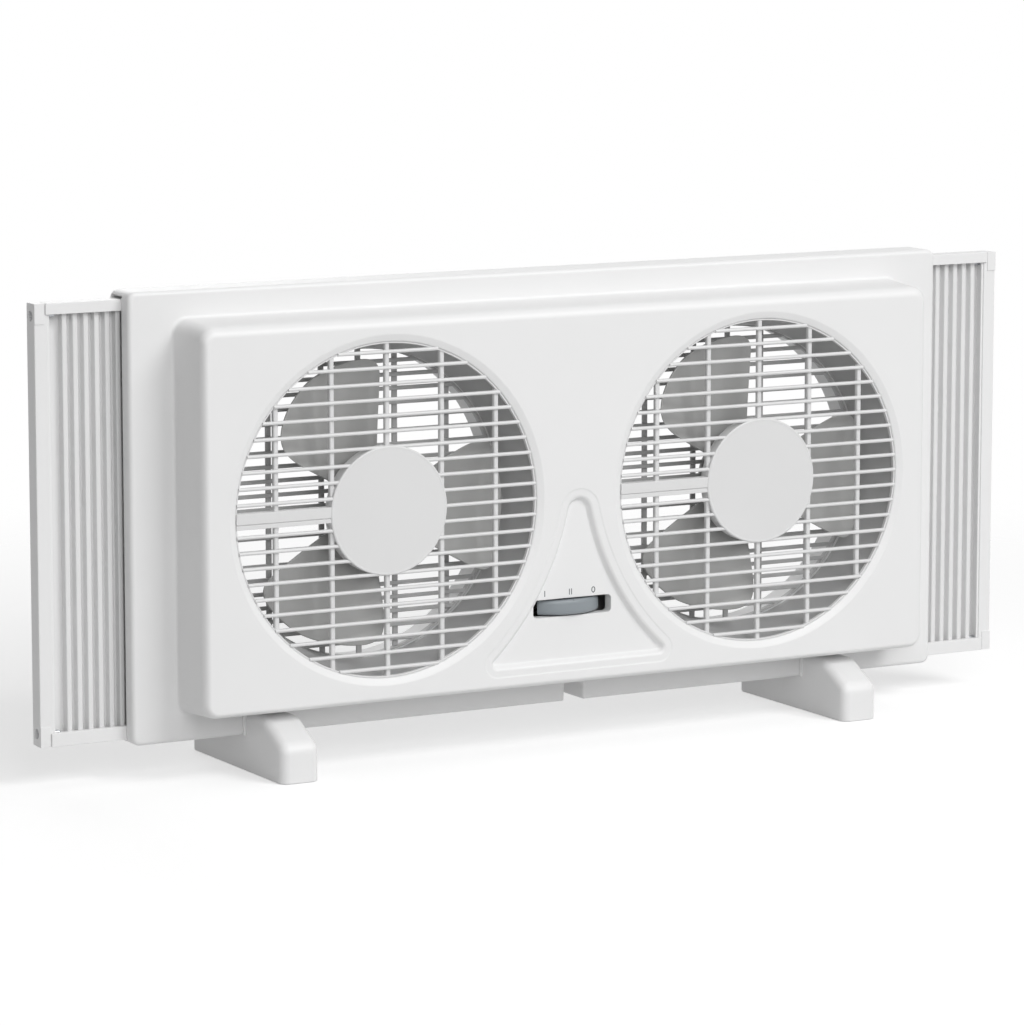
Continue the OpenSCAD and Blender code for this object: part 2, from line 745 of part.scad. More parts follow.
module rotor(side) {
    color("gray") at_fan(side) {
        rod_y(core_r, core_mid - core_l / 2 - 1, core_mid + core_l / 2 + 1);
        rod_y(shaft_d / 2, shaft_front, shaft_back);
    }
}

module blade_nut(side) {
    y0 = cup_back + hub_boss_l + 0.05;
    color("dimgray") at_fan(side) difference() {
        rod_y(nut_across_r, y0, y0 + nut_l, $fn = 6);
        rod_y(shaft_d / 2 + fit_gap, y0 - 1, y0 + nut_l + 1);
    }
}

// One blade seen from the front, from its straight edge to its swept edge
function blade_sweep(t) = blade_root_deg - (blade_root_deg - blade_tip_deg) * t ^ 2.2;
module blade_outline() {
    r0 = hub_d / 2 - 1;
    r1 = blade_tip_d / 2;
    tip_round = 9;
    steps = 10;
    swept = [for (i = [0 : steps]) let (t = i / steps, r = r0 + (r1 - tip_round - r0) * t,
        a = blade_sweep(t))
        r * [cos(a), sin(a)]];
    tip = [for (i = [0 : steps]) let (t = i / steps, a = blade_tip_deg - 7 - (blade_tip_deg - 14) * t)
        r1 * [cos(a), sin(a)]];
    round_c = (r1 - tip_round) * [cos(7), sin(7)];
    straight = [for (i = [1 : 5]) let (a = 7 - 97 * i / 5) round_c + tip_round * [cos(a), sin(a)]];
    polygon(concat([[0, 0]], flip2(concat(swept, tip, straight))));
}
function flip2(p) = [for (i = [len(p) - 1 : -1 : 0]) p[i]];

// Each blade is a slice of a large tube, so it is hollow towards the room
module fan_blades(side) {
    hub_r = hub_d / 2;
    camber_r = 95;
    mid_deg = blade_root_deg / 2 - 3;
    lean = 13;
    color("darkgray") at_fan(side) {
        for (k = [0 : blade_count - 1]) rotate([0, -(k * 360 / blade_count + 90), 0]) intersection() {
            slab(blade_front, blade_back) blade_outline();
            difference() {
                rotate([0, -mid_deg, 0]) translate([0, (blade_front + blade_back) / 2, 0])
                    rotate([lean, 0, 0]) translate([0, -camber_r + 4, 0]) rotate([0, 90, 0])
                        difference() {
                            cylinder(r = camber_r, h = blade_tip_d / 2 + 5, $fn = 180);
                            translate([0, 0, -1]) cylinder(r = camber_r - blade_t,
                                h = blade_tip_d / 2 + 8, $fn = 180);
                        }
                rod_y(hub_r - 1, blade_front - blade_len, blade_back + blade_len);
            }
        }
        difference() {
            union() {
                rod_y(hub_r, cup_front, cup_back);
                rod_y(bearing_r + 1, cup_back - eps, cup_back + hub_boss_l);
            }
            rod_y(hub_r - cup_t, cup_front - 1, cup_back - cup_t);
            rod_y(shaft_d / 2 + fit_gap, cup_back - cup_t - 1, cup_back + hub_boss_l + 1);
        }
    }
}

// ---------- switch ----------

module switch_body() {
    color("black") difference() {
        union() {
            block([switch_x - body_w / 2, wheel_y - body_d / 2, body_bottom],
                  [switch_x + body_w / 2, wheel_y + body_d / 2, body_top]);
            block([switch_x - body_w / 2 - ear_w, switch_ear_front, switch_ear_z - 4],
                  [switch_x + body_w / 2 + ear_w, switch_ear_front + switch_ear_t, switch_ear_z + 4]);
        }
        translate([switch_x, wheel_y, body_top - wheel_shaft_l])
            cylinder(r = wheel_shaft_r + shaft_clearance, h = wheel_shaft_l + 1);
        for (x = [-1, 1])
            rod_y(screw_hole_r, switch_ear_front - 1, switch_ear_front + switch_ear_t + 1,
                  switch_x + x * switch_ear_x, switch_ear_z);
    }
}

module switch_thumbwheel() {
    spokes = 2 * wheel_half_deg;
    color("slategray") translate([switch_x, wheel_y, wheel_z]) {
        translate([0, 0, -wheel_t / 2]) rotate([0, 0, -90 - wheel_half_deg])
            rotate_extrude(angle = spokes, $fn = 96) {
                translate([wheel_radius - 5, 0]) square([5, wheel_t]);
                translate([wheel_hub_r - 1, wheel_t / 2 - 1.5]) square([wheel_radius - wheel_hub_r - 3, 3]);
            }
        translate([0, 0, -wheel_t / 2]) cylinder(r = wheel_hub_r, h = wheel_t);
        translate([0, 0, -wheel_t / 2 - 0.5 - wheel_shaft_l + 0.5])
            cylinder(r = wheel_shaft_r, h = wheel_shaft_l + 1);
    }
}

module switch_screws() {
    color("lightgray") for (x = [-1, 1])
        screw_y(recess_floor + wall + 3, switch_ear_front + switch_ear_t + head_gap,
                switch_x + x * switch_ear_x, switch_ear_z);
}

module switch_terminals() {
    color("gold") for (x = terminal_x)
        block([switch_x + x - 1.2, wheel_y - 0.4, body_bottom - terminal_l],
              [switch_x + x + 1.2, wheel_y + 0.4, body_bottom - 0.02]);
}

// ---------- leads ----------

lead_end_z = body_bottom - terminal_l - 0.3;

// From the motor along the channel, over the rim and round the duct to the switch
module motor_lead(side) {
    cx = side * fan_x;
    start_x = cx - motor_d / 2;
    sweep = side == LEFT ? [180 : 12 : 300] : [180 : 12 : 228];
    ring = [for (a = sweep) [cx + lead_ring_r * cos(a), lead_y, fan_z + lead_ring_r * sin(a)]];
    channel = [[start_x + 0.5, lead_exit_y, fan_z], [start_x - 2, lead_exit_y, fan_z],
               [start_x - 10, channel_mid, fan_z], [cx - opening_d / 2 - 3, channel_mid, fan_z],
               [cx - lead_ring_r + 1, channel_mid + 3, fan_z], [cx - lead_ring_r, channel_mid + 8, fan_z]];
    end_x = switch_x + (side == LEFT ? terminal_x[0] : terminal_x[3]);
    finish = [[end_x + (side == LEFT ? -8 : 4), wheel_y - 3, lead_end_z - 11],
              [end_x + (side == LEFT ? -2 : 1), wheel_y, lead_end_z - 8],
              [end_x, wheel_y, lead_end_z - 4], [end_x, wheel_y, lead_end_z]];
    color("black") lead(concat(channel, ring, finish), lead_r);
}

module cord_bushing() {
    color("white") translate([bushing_x, 0, bushing_z]) difference() {
        union() {
            rod_y(bushing_r, frame_back - 2, panel_back + 0.1);
            rod_y(bushing_r + 2.2, panel_back + 0.05, panel_back + 2.5);
        }
        rod_y(bushing_bore_r, frame_back - 3, panel_back + 3);
    }
}

// ---------- feet ----------

module foot(side) {
    half = foot_l / 2;
    clasp = panel_d / 2 + seat_gap;
    shoulder_z = foot_h + 1;
    top_z = fan_z - bezel_h / 2 - foot_gap;
    slope_y = half - foot_slope_l;
    right = [[clasp, foot_h - seat_gap], [clasp, top_z], [slope_y, top_z], [half, shoulder_z], [half, 0]];
    color("white") difference() {
        translate([side * foot_x - foot_w / 2, 0, 0]) rotate([90, 0, 90]) linear_extrude(foot_w)
            polygon(concat(right, flip(right)));
        for (y = [-foot_screw_y, foot_screw_y]) translate([side * foot_x, y, 0]) {
            translate([0, 0, -1]) cylinder(r = screw_head_r + 0.5, h = foot_screw_seat + 1);
            cylinder(r = screw_hole_r, h = foot_h + 1);
        }
    }
}

module foot_screws() {
    seat = foot_screw_seat - head_gap;
    color("lightgray") for (x = [-1, 1], y = [-foot_screw_y, foot_screw_y])
        translate([x * foot_x, y, seat]) {
            translate([0, 0, -screw_head_l]) cylinder(r = screw_head_r, h = screw_head_l);
            translate([0, 0, -eps]) cylinder(r = screw_r, h = foot_screw_l);
        }
}

module bezel_screws() {
    color("lightgray") for (x = [-1, 1], z = [-1, 1]) {
        screw_y(panel_front - panel_screw_l, front_wall_back + head_gap, x * bezel_boss_x,
            fan_z + z * bezel_boss_z);
    }
}

module back_screws() {
    color("lightgray") for (x = [-1, 0, 1], z = [-1, 1]) {
        screw_y(frame_back - panel_screw_l, panel_back + head_gap, x * back_boss_x,
            fan_z + z * back_boss_z);
    }
}

// ---------- extenders ----------

module end_cap(side) {
    color("white") at_end(side) difference() {
        union() {
            block([cap_inner, ext_front, ext_bottom], [cap_outer, ext_back, ext_top]);
            for (z = [ext_bottom, ext_top - cap_block_h])
                block([cap_inner + 0.6, ext_front - cap_block_out, z],
                    [cap_outer, ext_mid, z + cap_block_h]);
        }
        block([cap_inner - 1, ext_mid - rib_d / 2 - groove_gap, ext_bottom + bottom_rail_h],
              [cap_inner + groove_d, ext_mid + rib_d / 2 + groove_gap, ext_top - top_rail_h]);
        for (z = [ext_bottom + ext_screw_z, ext_top - ext_screw_z]) {
            rod_x(screw_hole_r, cap_inner - 1, cap_outer + 1, ext_mid, z);
            rod_x(screw_head_r + 0.2, ext_seat, cap_outer + 1, ext_mid, z);
        }
    }
}

// A rail from x0 to x1 with a groove for the sheet; up is +1 for a rail whose groove faces up
module rail(h, z0, up) {
    groove_z = up > 0 ? z0 + h - groove_d - groove_gap : z0 - 1;
    boss_z = up > 0 ? z0 : z0 + h - rail_boss_h;
    screw_z = up > 0 ? ext_bottom + ext_screw_z : ext_top - ext_screw_z;
    difference() {
        union() {
            difference() {
                block([rail_inner, ext_front, z0], [rail_outer, ext_back, z0 + h]);
                block([rail_inner - 1, ext_mid - rib_d / 2 - groove_gap, groove_z],
                      [rail_outer + 1, ext_mid + rib_d / 2 + groove_gap,
                          groove_z + groove_d + groove_gap + 1]);
            }
            block([rail_outer - rail_boss_l, ext_mid - 3.5, boss_z],
                [rail_outer, ext_mid + 3.5, boss_z + rail_boss_h]);
        }
        rod_x(pilot_r, rail_outer - rail_boss_l - 1, rail_outer + 1, ext_mid, screw_z);
    }
}

module top_rail(side) {
    color("white") at_end(side) rail(top_rail_h, ext_top - top_rail_h, -1);
}

module bottom_rail(side) {
    color("white") at_end(side) rail(bottom_rail_h, ext_bottom, 1);
}

// The ribbed sheet: a trapezoid wave of constant thickness, notched round the rails' bosses
module extender_sheet(side) {
    x0 = sheet_inner;
    x1 = cap_inner + groove_d - groove_gap;
    count = floor((x1 - x0) / rib_pitch);
    a = rib_d / 2;
    x_start = x1 - count * rib_pitch;
    front = [for (k = [0 : count - 1]) let (x = x_start + k * rib_pitch)
        each [[x, a - sheet_t], [x + 0.3 * rib_pitch, a - sheet_t],
              [x + 0.42 * rib_pitch, -a], [x + 0.88 * rib_pitch, -a]]];
    back = [for (k = [count - 1 : -1 : 0]) let (x = x_start + k * rib_pitch)
        each [[x + 0.84 * rib_pitch, -a + sheet_t], [x + 0.46 * rib_pitch, -a + sheet_t],
              [x + 0.34 * rib_pitch, a], [x, a]]];
    tail = [[x1, a - sheet_t], [x1, a]];
    z0 = ext_bottom + bottom_rail_h - groove_d;
    z1 = ext_top - top_rail_h + groove_d;
    color("white") at_end(side) difference() {
        translate([0, ext_mid, z0]) linear_extrude(z1 - z0) polygon(concat(front, tail, back));
        for (z = [z0 - 1, ext_top - rail_boss_h - groove_gap])
            block([rail_outer - rail_boss_l - groove_gap, ext_front, z],
                  [x1 + 1, ext_back, z == z0 - 1 ? ext_bottom + rail_boss_h + groove_gap : z1 + 1]);
    }
}

module extender_screws(side) {
    color("lightgray") at_end(side) for (z = [ext_bottom + ext_screw_z, ext_top - ext_screw_z]) {
        rod_x(screw_r, ext_seat - ext_screw_l, ext_seat + 0.1, ext_mid, z);
        rod_x(screw_head_r, ext_seat + head_gap, ext_seat + screw_head_l, ext_mid, z);
    }
}

front_bezel();
front_grille(LEFT);  // front_grille_left
front_grille(RIGHT);  // front_grille_right
air_duct(LEFT);  // air_duct_left
air_duct(RIGHT);  // air_duct_right
panel_frame();
back_panel();
rear_grille(LEFT);  // rear_grille_left
rear_grille(RIGHT);  // rear_grille_right
motor_front_bracket(LEFT);  // motor_front_bracket_left
motor_front_bracket(RIGHT);  // motor_front_bracket_right
motor_rear_bracket(LEFT);  // motor_rear_bracket_left
motor_rear_bracket(RIGHT);  // motor_rear_bracket_right
stator_core(LEFT);  // stator_core_left
stator_core(RIGHT);  // stator_core_right
stator_coils(LEFT);  // stator_coils_left
stator_coils(RIGHT);  // stator_coils_right
motor_bearings(LEFT);  // motor_bearings_left
motor_bearings(RIGHT);  // motor_bearings_right
motor_screws();
rotor(LEFT);  // rotor_left
rotor(RIGHT);  // rotor_right
fan_blades(LEFT);  // fan_blades_left
fan_blades(RIGHT);  // fan_blades_right
blade_nut(LEFT);  // blade_nut_left
blade_nut(RIGHT);  // blade_nut_right
switch_body();
switch_thumbwheel();
switch_screws();
switch_terminals();
motor_lead(LEFT);  // motor_lead_left
motor_lead(RIGHT);  // motor_lead_right
cord_bushing();
foot(LEFT);  // foot_left
foot(RIGHT);  // foot_right
foot_screws();
bezel_screws();
back_screws();
end_cap(LEFT);  // end_cap_left
end_cap(RIGHT);  // end_cap_right
top_rail(LEFT);  // top_rail_left
top_rail(RIGHT);  // top_rail_right
bottom_rail(LEFT);  // bottom_rail_left
bottom_rail(RIGHT);  // bottom_rail_right
extender_sheet(LEFT);  // extender_sheet_left
extender_sheet(RIGHT);  // extender_sheet_right
extender_screws(LEFT);  // extender_screws_left
extender_screws(RIGHT);  // extender_screws_right
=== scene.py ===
# %% [markdown]
# # Twin window fan
# A moulded body that stands in a window opening, with two ducted axial fans side by side.
# Room side is -Y, outdoors is +Y, Z is up, and the floor under the feet is z = 0.
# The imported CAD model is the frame. The pieces whose edges and surfaces are seen closely are
# made again here with their mould radii, and the others keep their CAD shape.
# Every piece is worked out in millimetres and stored in metres.

# %% Load the frame
import json
import math

import bmesh
import bpy
from mathutils import Matrix, Vector


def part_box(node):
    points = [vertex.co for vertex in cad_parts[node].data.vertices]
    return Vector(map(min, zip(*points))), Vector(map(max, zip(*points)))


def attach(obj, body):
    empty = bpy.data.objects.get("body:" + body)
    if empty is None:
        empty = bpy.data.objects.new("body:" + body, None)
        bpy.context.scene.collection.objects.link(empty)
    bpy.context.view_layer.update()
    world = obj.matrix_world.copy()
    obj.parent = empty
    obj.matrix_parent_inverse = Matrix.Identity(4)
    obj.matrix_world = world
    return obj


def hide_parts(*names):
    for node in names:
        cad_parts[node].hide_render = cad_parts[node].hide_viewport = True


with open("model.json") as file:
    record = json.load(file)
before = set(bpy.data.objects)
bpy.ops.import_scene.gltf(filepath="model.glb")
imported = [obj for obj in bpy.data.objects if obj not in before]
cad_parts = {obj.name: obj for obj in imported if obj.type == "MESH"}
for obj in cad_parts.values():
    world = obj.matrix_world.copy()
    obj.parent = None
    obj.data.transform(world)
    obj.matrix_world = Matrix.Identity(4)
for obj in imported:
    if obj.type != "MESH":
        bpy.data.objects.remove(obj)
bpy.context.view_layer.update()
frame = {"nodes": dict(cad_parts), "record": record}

# %% [markdown]
# ## Sizes
# These are the sizes of part.scad, which this script can't read.

# %% Sizes of the fan
MM = 0.001
FAN_X, FAN_Z = 129.0, 154.5
PANEL_W, PANEL_H, PANEL_LOW, PANEL_FRONT, PANEL_BACK = 560.0, 266.0, 21.5, -13.0, 13.0
SEAM = 10.5
BEZEL_W, BEZEL_H, BEZEL_FRONT, BEZEL_CORNER = 502.0, 232.0, -49.0, 9.0
OPENING_R, ORIFICE_R = 100.0, 93.0
FLOOR_OF_RECESS = -45.0
SWITCH_X, WHEEL_Y, WHEEL_Z, WHEEL_R, WHEEL_T = -3.0, -18.9, 86.5, 29.5, 9.0
EXT_FRONT, EXT_BACK, EXT_LOW, EXT_TOP = -2.5, 8.5, 24.3, 282.8
CAP_IN, CAP_OUT = 325.4, 334.0
FOOT_X, FOOT_W, FOOT_L = 195.0, 25.0, 124.0
SIDES = {"left": -1, "right": 1}

for node, axis, low, high in (
    ("front_bezel", 0, -BEZEL_W / 2, BEZEL_W / 2),
    ("panel_frame", 2, PANEL_LOW, PANEL_LOW + PANEL_H),
    ("end_cap_right", 0, CAP_IN, CAP_OUT),
):
    corner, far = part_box(node)
    error = max(abs(corner[axis] / MM - low), abs(far[axis] / MM - high))
    print(f"{node}: off by {error:.2f} mm")

# %% [markdown]
# ## Helpers for shape
# A moulding is a skin of rings: each ring is the same outline drawn in or let out a little and
# moved in depth, and strips of faces join one ring to the next. So a rounded edge, a chamfer and
# a recess are all the same few calls. Flat areas between rings are filled with triangles that use
# the rings' own points, so they stay flat and take no shading from the curves beside them.


# %% Outlines
def outline(corners, steps=8):
    """Points and outward normals of a closed outline whose corners are (x, z, radius),
    in order against the clock."""
    loop = []
    for i, (x, z, r) in enumerate(corners):
        here = Vector((x, z))
        back = (Vector(corners[i - 1][:2]) - here).normalized()
        on = (Vector(corners[(i + 1) % len(corners)][:2]) - here).normalized()
        half = back.angle(on) / 2
        r = max(r, 1e-3)
        middle = here + (back + on).normalized() * r / math.sin(half)
        spoke = here + back * r / math.tan(half) - middle
        side = 1 if back.x * on.y - back.y * on.x < 0 else -1
        for k in range(steps + 1):
            a = side * (math.pi - 2 * half) * k / steps
            c, s = math.cos(a), math.sin(a)
            ray = Vector((spoke.x * c - spoke.y * s, spoke.x * s + spoke.y * c))
            loop.append((middle + ray, ray.normalized() * side))
    return loop


def round_rect(half_w, half_h, r, x=0.0, z=0.0, steps=8):
    """The outline of a rectangle with round corners, about the middle (x, z)."""
    corners = [(x + a * half_w, z + b * half_h, r) for a, b in ((-1, -1), (1, -1), (1, 1), (-1, 1))]
    return outline(corners, steps)


def circle(r, x=0.0, z=0.0, count=128):
    """The outline of a circle about (x, z)."""
    rays = [Vector((math.cos(a), math.sin(a))) for a in (2 * math.pi * k / count for k in range(count))]
    return [(Vector((x, z)) + ray * r, ray) for ray in rays]


def rectangle(low, high):
    """The corners of a rectangle from its low to its high one."""
    return [low, (high[0], low[1]), high, (low[0], high[1])]


def quarter(steps):
    """How much of a rounded edge's width is used up, and of its depth is left, over a quarter turn."""
    return [(1 - math.cos(a), 1 - math.sin(a)) for a in (math.pi / 2 * k / steps for k in range(steps + 1))]


# %% Rings, strips and flat areas
def ring(mesh, loop, y, inset=0.0):
    """A ring of points: the outline drawn in by inset, at depth y."""
    return [mesh.verts.new(Vector((p.x - n.x * inset, y, p.y - n.y * inset)) * MM) for p, n in loop]


def strip(mesh, rings, skip=None):
    """Faces from each ring to the next. skip(a, b) leaves out the faces on that edge."""
    for one, two in zip(rings, rings[1:]):
        for i in range(len(one)):
            a, b = one[i - 1], one[i]
            if not (skip and skip(a.co, b.co)):
                mesh.faces.new((a, b, two[i], two[i - 1]))


def flat(mesh, outer, holes=()):
    """Triangles between an outer ring and the rings of its holes."""
    edges = []
    for loop in (outer, *holes):
        for pair in zip(loop[-1:] + loop[:-1], loop):
            edges.append(mesh.edges.get(pair) or mesh.edges.new(pair))
    bmesh.ops.triangle_fill(mesh, use_beauty=True, edges=edges)


def lathe(mesh, profile, x, z, count=128, closed=True):
    """Turns a profile of (radius, y) points about the Y axis through (x, z)."""
    rings = [ring(mesh, circle(max(r, 1e-4), x, z, count), y) for r, y in profile]
    strip(mesh, rings + rings[:1] if closed else rings)


def mouths(mesh, profile, count=128):
    """The rings (radius, y) of an opening on each fan's axis, with their strips. Gives the first ones."""
    firsts = []
    for x in (-FAN_X, FAN_X):
        hoops = [ring(mesh, circle(r, x, FAN_Z, count), y) for r, y in profile]
        strip(mesh, hoops)
        firsts.append(hoops[0])
    return firsts


# %% Bars and blocks
def soften(mesh, edges, round_mm, segments=3):
    """Rounds these edges of the mesh."""
    even = {"profile": 0.5, "affect": "EDGES", "clamp_overlap": True}
    bmesh.ops.bevel(mesh, geom=edges, offset=round_mm * MM, segments=segments, **even)


def prism(mesh, points, low, high, round_mm, axis="X"):
    """A bar of one section with rounded edges. The section's points are (y, z) for a bar along X,
    (x, z) for one along Y, and (x, y) for one along Z."""
    at = "XYZ".index(axis)
    ends = [[mesh.verts.new(Vector((*p[:at], d, *p[at:])) * MM) for p in points] for d in (low, high)]
    faces = [mesh.faces.new(end) for end in ends]
    for i in range(len(points)):
        faces.append(mesh.faces.new((ends[0][i - 1], ends[0][i], ends[1][i], ends[1][i - 1])))
    bmesh.ops.recalc_face_normals(mesh, faces=faces)
    if round_mm:
        soften(mesh, list(dict.fromkeys(e for f in faces for e in f.edges)), round_mm)


def box(mesh, low, high, round_mm):
    """A block from its low to its high corner, with rounded edges."""
    prism(mesh, rectangle(low[1:], high[1:]), low[0], high[0], round_mm)


# %% [markdown]
# ## Helpers that finish a piece
# A piece starts as a bmesh. Its double points are merged, its faces turned outward, a skin gets
# its wall thickness, and curves are shaded smooth while flat faces keep their own normals.
# The modifiers are used up here, so each finished piece is a plain mesh.


# %% From a bmesh to an object
def linked(name, data):
    """A new object in the scene with this data."""
    obj = bpy.data.objects.new(name, data)
    bpy.context.scene.collection.objects.link(obj)
    return obj


def stored(name, mesh):
    """The bmesh, used up, as a mesh."""
    data = bpy.data.meshes.new(name)
    mesh.to_mesh(data)
    mesh.free()
    return data


def plain(name, mesh):
    """An object of the bmesh with its faces turned outward, not yet a piece."""
    bmesh.ops.recalc_face_normals(mesh, faces=mesh.faces)
    return linked(name, stored(name, mesh))


def used_up(obj):
    """Puts the object's mesh with its modifiers applied in place of the old one."""
    bpy.context.view_layer.update()
    made = bpy.data.meshes.new_from_object(obj.evaluated_get(bpy.context.evaluated_depsgraph_get()))
    obj.modifiers.clear()
    obj.data = made


def cut_away(obj, cutter):
    """Takes the cutter's shape out of the object, and the cutter out of the scene."""
    cut = obj.modifiers.new("cut", "BOOLEAN")
    cut.operation, cut.solver, cut.use_self, cut.object = "DIFFERENCE", "EXACT", True, cutter
    used_up(obj)
    bpy.data.objects.remove(cutter)


# %% Finish a piece
def finish(name, mesh, slot, nodes=(), body="housing", material=None, wall=0.0, facing=None, drilled=(), angle=32):
    """Makes the bmesh into a piece that rides on a body and stands for CAD nodes. Its material
    is its slot's own unless one is given. A hole is drilled at a point along a direction."""
    bmesh.ops.remove_doubles(mesh, verts=mesh.verts, dist=2e-6)
    bmesh.ops.dissolve_degenerate(mesh, dist=1e-6, edges=mesh.edges)
    bmesh.ops.recalc_face_normals(mesh, faces=mesh.faces)
    if facing and sum(f.normal.dot(Vector(facing)) * f.calc_area() for f in mesh.faces) < 0:
        bmesh.ops.reverse_faces(mesh, faces=mesh.faces)
    obj = linked(name, stored(name, mesh))
    if wall:
        shell = obj.modifiers.new("wall", "SOLIDIFY")
        shell.thickness, shell.offset, shell.use_even_offset = wall * MM, -1, False
        used_up(obj)
    for at, way, r, depth in drilled:
        hole = bmesh.new()
        size = {"radius1": r * MM, "radius2": r * MM, "depth": depth * MM}
        bmesh.ops.create_cone(hole, cap_ends=True, segments=32, **size)
        turn = Vector(way).to_track_quat("Z", "Y").to_matrix().to_4x4()
        hole.transform(Matrix.Translation(Vector(at) * MM) @ turn)
        cut_away(obj, linked("hole", stored("hole", hole)))
    obj.data.materials.clear()
    obj.data.materials.append(material or FINISH[slot])
    obj.data.shade_smooth()
    obj.data.set_sharp_from_angle(angle=math.radians(angle))
    even = obj.modifiers.new("even", "WEIGHTED_NORMAL")
    even.keep_sharp = True
    used_up(obj)
    obj.name = obj.data.name = name
    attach(obj, body)
    if nodes:
        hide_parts(*nodes)
    print(f"{name}: {len(obj.data.polygons)} faces on {body}")


# %% [markdown]
# ## Helpers for materials
# One helper adds a node and sets or links its inputs, and one turns an sRGB hex colour into the
# linear colour that the sockets take. All patterns are placed by object coordinates, so their
# scales are real lengths.


# %% Node and colour helpers
def linear(hex_colour):
    """An sRGB hex colour as linear RGBA."""
    parts = [int(hex_colour[i : i + 2], 16) / 255 for i in (1, 3, 5)]
    return [c / 12.92 if c <= 0.04045 else ((c + 0.055) / 1.055) ** 2.4 for c in parts] + [1.0]


def add(tree, kind, inputs=None, **settings):
    """Adds a node. An input that is given a socket is linked, and any other is set."""
    node = tree.nodes.new(kind)
    for key, value in settings.items():
        setattr(node, key, value)
    for key, value in (inputs or {}).items():
        if isinstance(value, bpy.types.NodeSocket):
            tree.links.new(value, node.inputs[key])
        else:
            node.inputs[key].default_value = value
    return node


def start(name):
    """A new empty material, its node tree and its output node."""
    material = bpy.data.materials.new(name)
    material.use_nodes = True
    material.node_tree.nodes.clear()
    return material, material.node_tree, add(material.node_tree, "ShaderNodeOutputMaterial")


# %% Recipe of a surface
def surfaced(name, tone, shade, roughness, swing, slow, fine, bump, stretch=(1.0, 1.0, 1.0), metallic=0.0):
    """A material whose colour drifts between two close tones over a slow noise. A fine noise,
    which stretch draws out along one direction, swings its roughness and makes its bump, which
    is a strength and a depth in mm."""
    material, tree, output = start(name)
    place = add(tree, "ShaderNodeTexCoord").outputs["Object"]
    drawn = add(tree, "ShaderNodeMapping", {"Vector": place, "Scale": Vector(stretch)}).outputs["Vector"]
    drift = add(tree, "ShaderNodeTexNoise", {"Vector": place, **slow}).outputs["Fac"]
    grain = add(tree, "ShaderNodeTexNoise", {"Vector": drawn, **fine}).outputs["Fac"]
    tones = {0: drift, 6: linear(shade), 7: linear(tone)}
    span = {"From Min": 0.3, "From Max": 0.7, "To Min": roughness - swing, "To Max": roughness + swing}
    rise = {"Height": grain, "Strength": bump[0], "Distance": bump[1] * MM}
    look = {
        "Base Color": add(tree, "ShaderNodeMix", tones, data_type="RGBA").outputs[2],
        "Metallic": metallic,
        "Roughness": add(tree, "ShaderNodeMapRange", {"Value": grain, **span}).outputs["Result"],
        "Normal": add(tree, "ShaderNodeBump", rise).outputs["Normal"],
    }
    tree.links.new(add(tree, "ShaderNodeBsdfPrincipled", look).outputs["BSDF"], output.inputs["Surface"])
    return material


# %% [markdown]
# ## Moulded plastic
# The body is injection-moulded ABS: an even satin skin with a very fine spark-eroded texture,
# which dulls its highlights, and slow changes of tone over 60 mm or so where the wall is thicker.
# The real texture is about 0.1 mm, finer than a pixel here, so it is drawn at about 1 mm and
# very shallow. The same recipe with other tones gives the duct, the blades, the thumbwheel,
# the switch, the bushing and the leads. The duct and the rear grille are white mouldings, and
# their greys are painted shade of the deep inside. The front grilles are mouldings of their own
# in the bezel's white, and their off-white is painted shade of their thin round bars. The other
# finishes are kept by the CAD record's material slots, and each piece takes that of its slot.


# %% Plastics of the fan
def plastic(name, tone, shade, roughness, grain_mm=1.0):
    """A moulded plastic. tone and shade are its two close colours."""
    slow = {"Scale": 1 / 0.06, "Detail": 2.0}
    grain = {"Scale": 1 / (grain_mm * MM), "Detail": 3.0, "Roughness": 0.6}
    return surfaced(name, tone, shade, roughness, 0.04, slow, grain, (0.35, 0.01))


FINISH = {
    "white_abs": plastic("moulded ABS, white", "#ECECEC", "#E8E8E8", 0.42),
    "white_sheet": plastic("extruded polystyrene, white", "#E8E8E8", "#E2E2E2", 0.36, grain_mm=1.4),
    # The duct and the rear grille are white mouldings, and their greys are painted shade of the deep inside.
    "duct_grey": plastic("moulded ABS, white with painted deep shade", "#B8B8B8", "#B0B0B0", 0.5),
    "rear_grille_grey": plastic("moulded ABS, white with painted pale shade", "#C0C0C0", "#B8B8B8", 0.5),
    "blade_grey": plastic("moulded polypropylene, grey", "#B0B0AF", "#A7A7A6", 0.4),
    "wheel_grey": plastic("moulded ABS, slate grey", "#8E9498", "#868D92", 0.38),
    "switch_black": plastic("moulded ABS, dark grey", "#4A4C4D", "#434546", 0.45),
    "lead_black": plastic("PVC insulation, black", "#18181A", "#131315", 0.5),
    "bushing_white": plastic("soft PVC, white", "#DCDCDC", "#D6D6D6", 0.55),
}
# The grilles are white like the bezel, and this greyer copy is painted shade of their thin round bars.
shaded_grille_abs = plastic("moulded ABS, white with painted shade", "#E0E0E0", "#DBDBDB", 0.42)
print("plastics:", len(bpy.data.materials))

# %% [markdown]
# ## Printed marks
# The switch positions I, II and O are pad printed: a thin, slightly uneven film of dark grey ink.

# %% Ink
ink, tree, output = start("pad-printed ink, dark grey")
place = add(tree, "ShaderNodeTexCoord").outputs["Object"]
cover = add(tree, "ShaderNodeTexNoise", {"Vector": place, "Scale": 2500.0, "Detail": 2.0}).outputs["Fac"]
tones = {0: cover, 6: linear("#3E4448"), 7: linear("#5A6064")}
colour = add(tree, "ShaderNodeMix", tones, data_type="RGBA").outputs[2]
film = add(tree, "ShaderNodeBsdfPrincipled", {"Base Color": colour, "Roughness": 0.6}).outputs["BSDF"]
tree.links.new(film, output.inputs["Surface"])

# %% [markdown]
# ## Metals
# Zinc-plated screws and pressings, blued electrical steel, enamelled copper, bronze and brass.
# Each is a metal with fine lines along its working direction and patches of different polish.
# The lines are 0.05 mm on a real pressing and are drawn at about 0.4 mm.


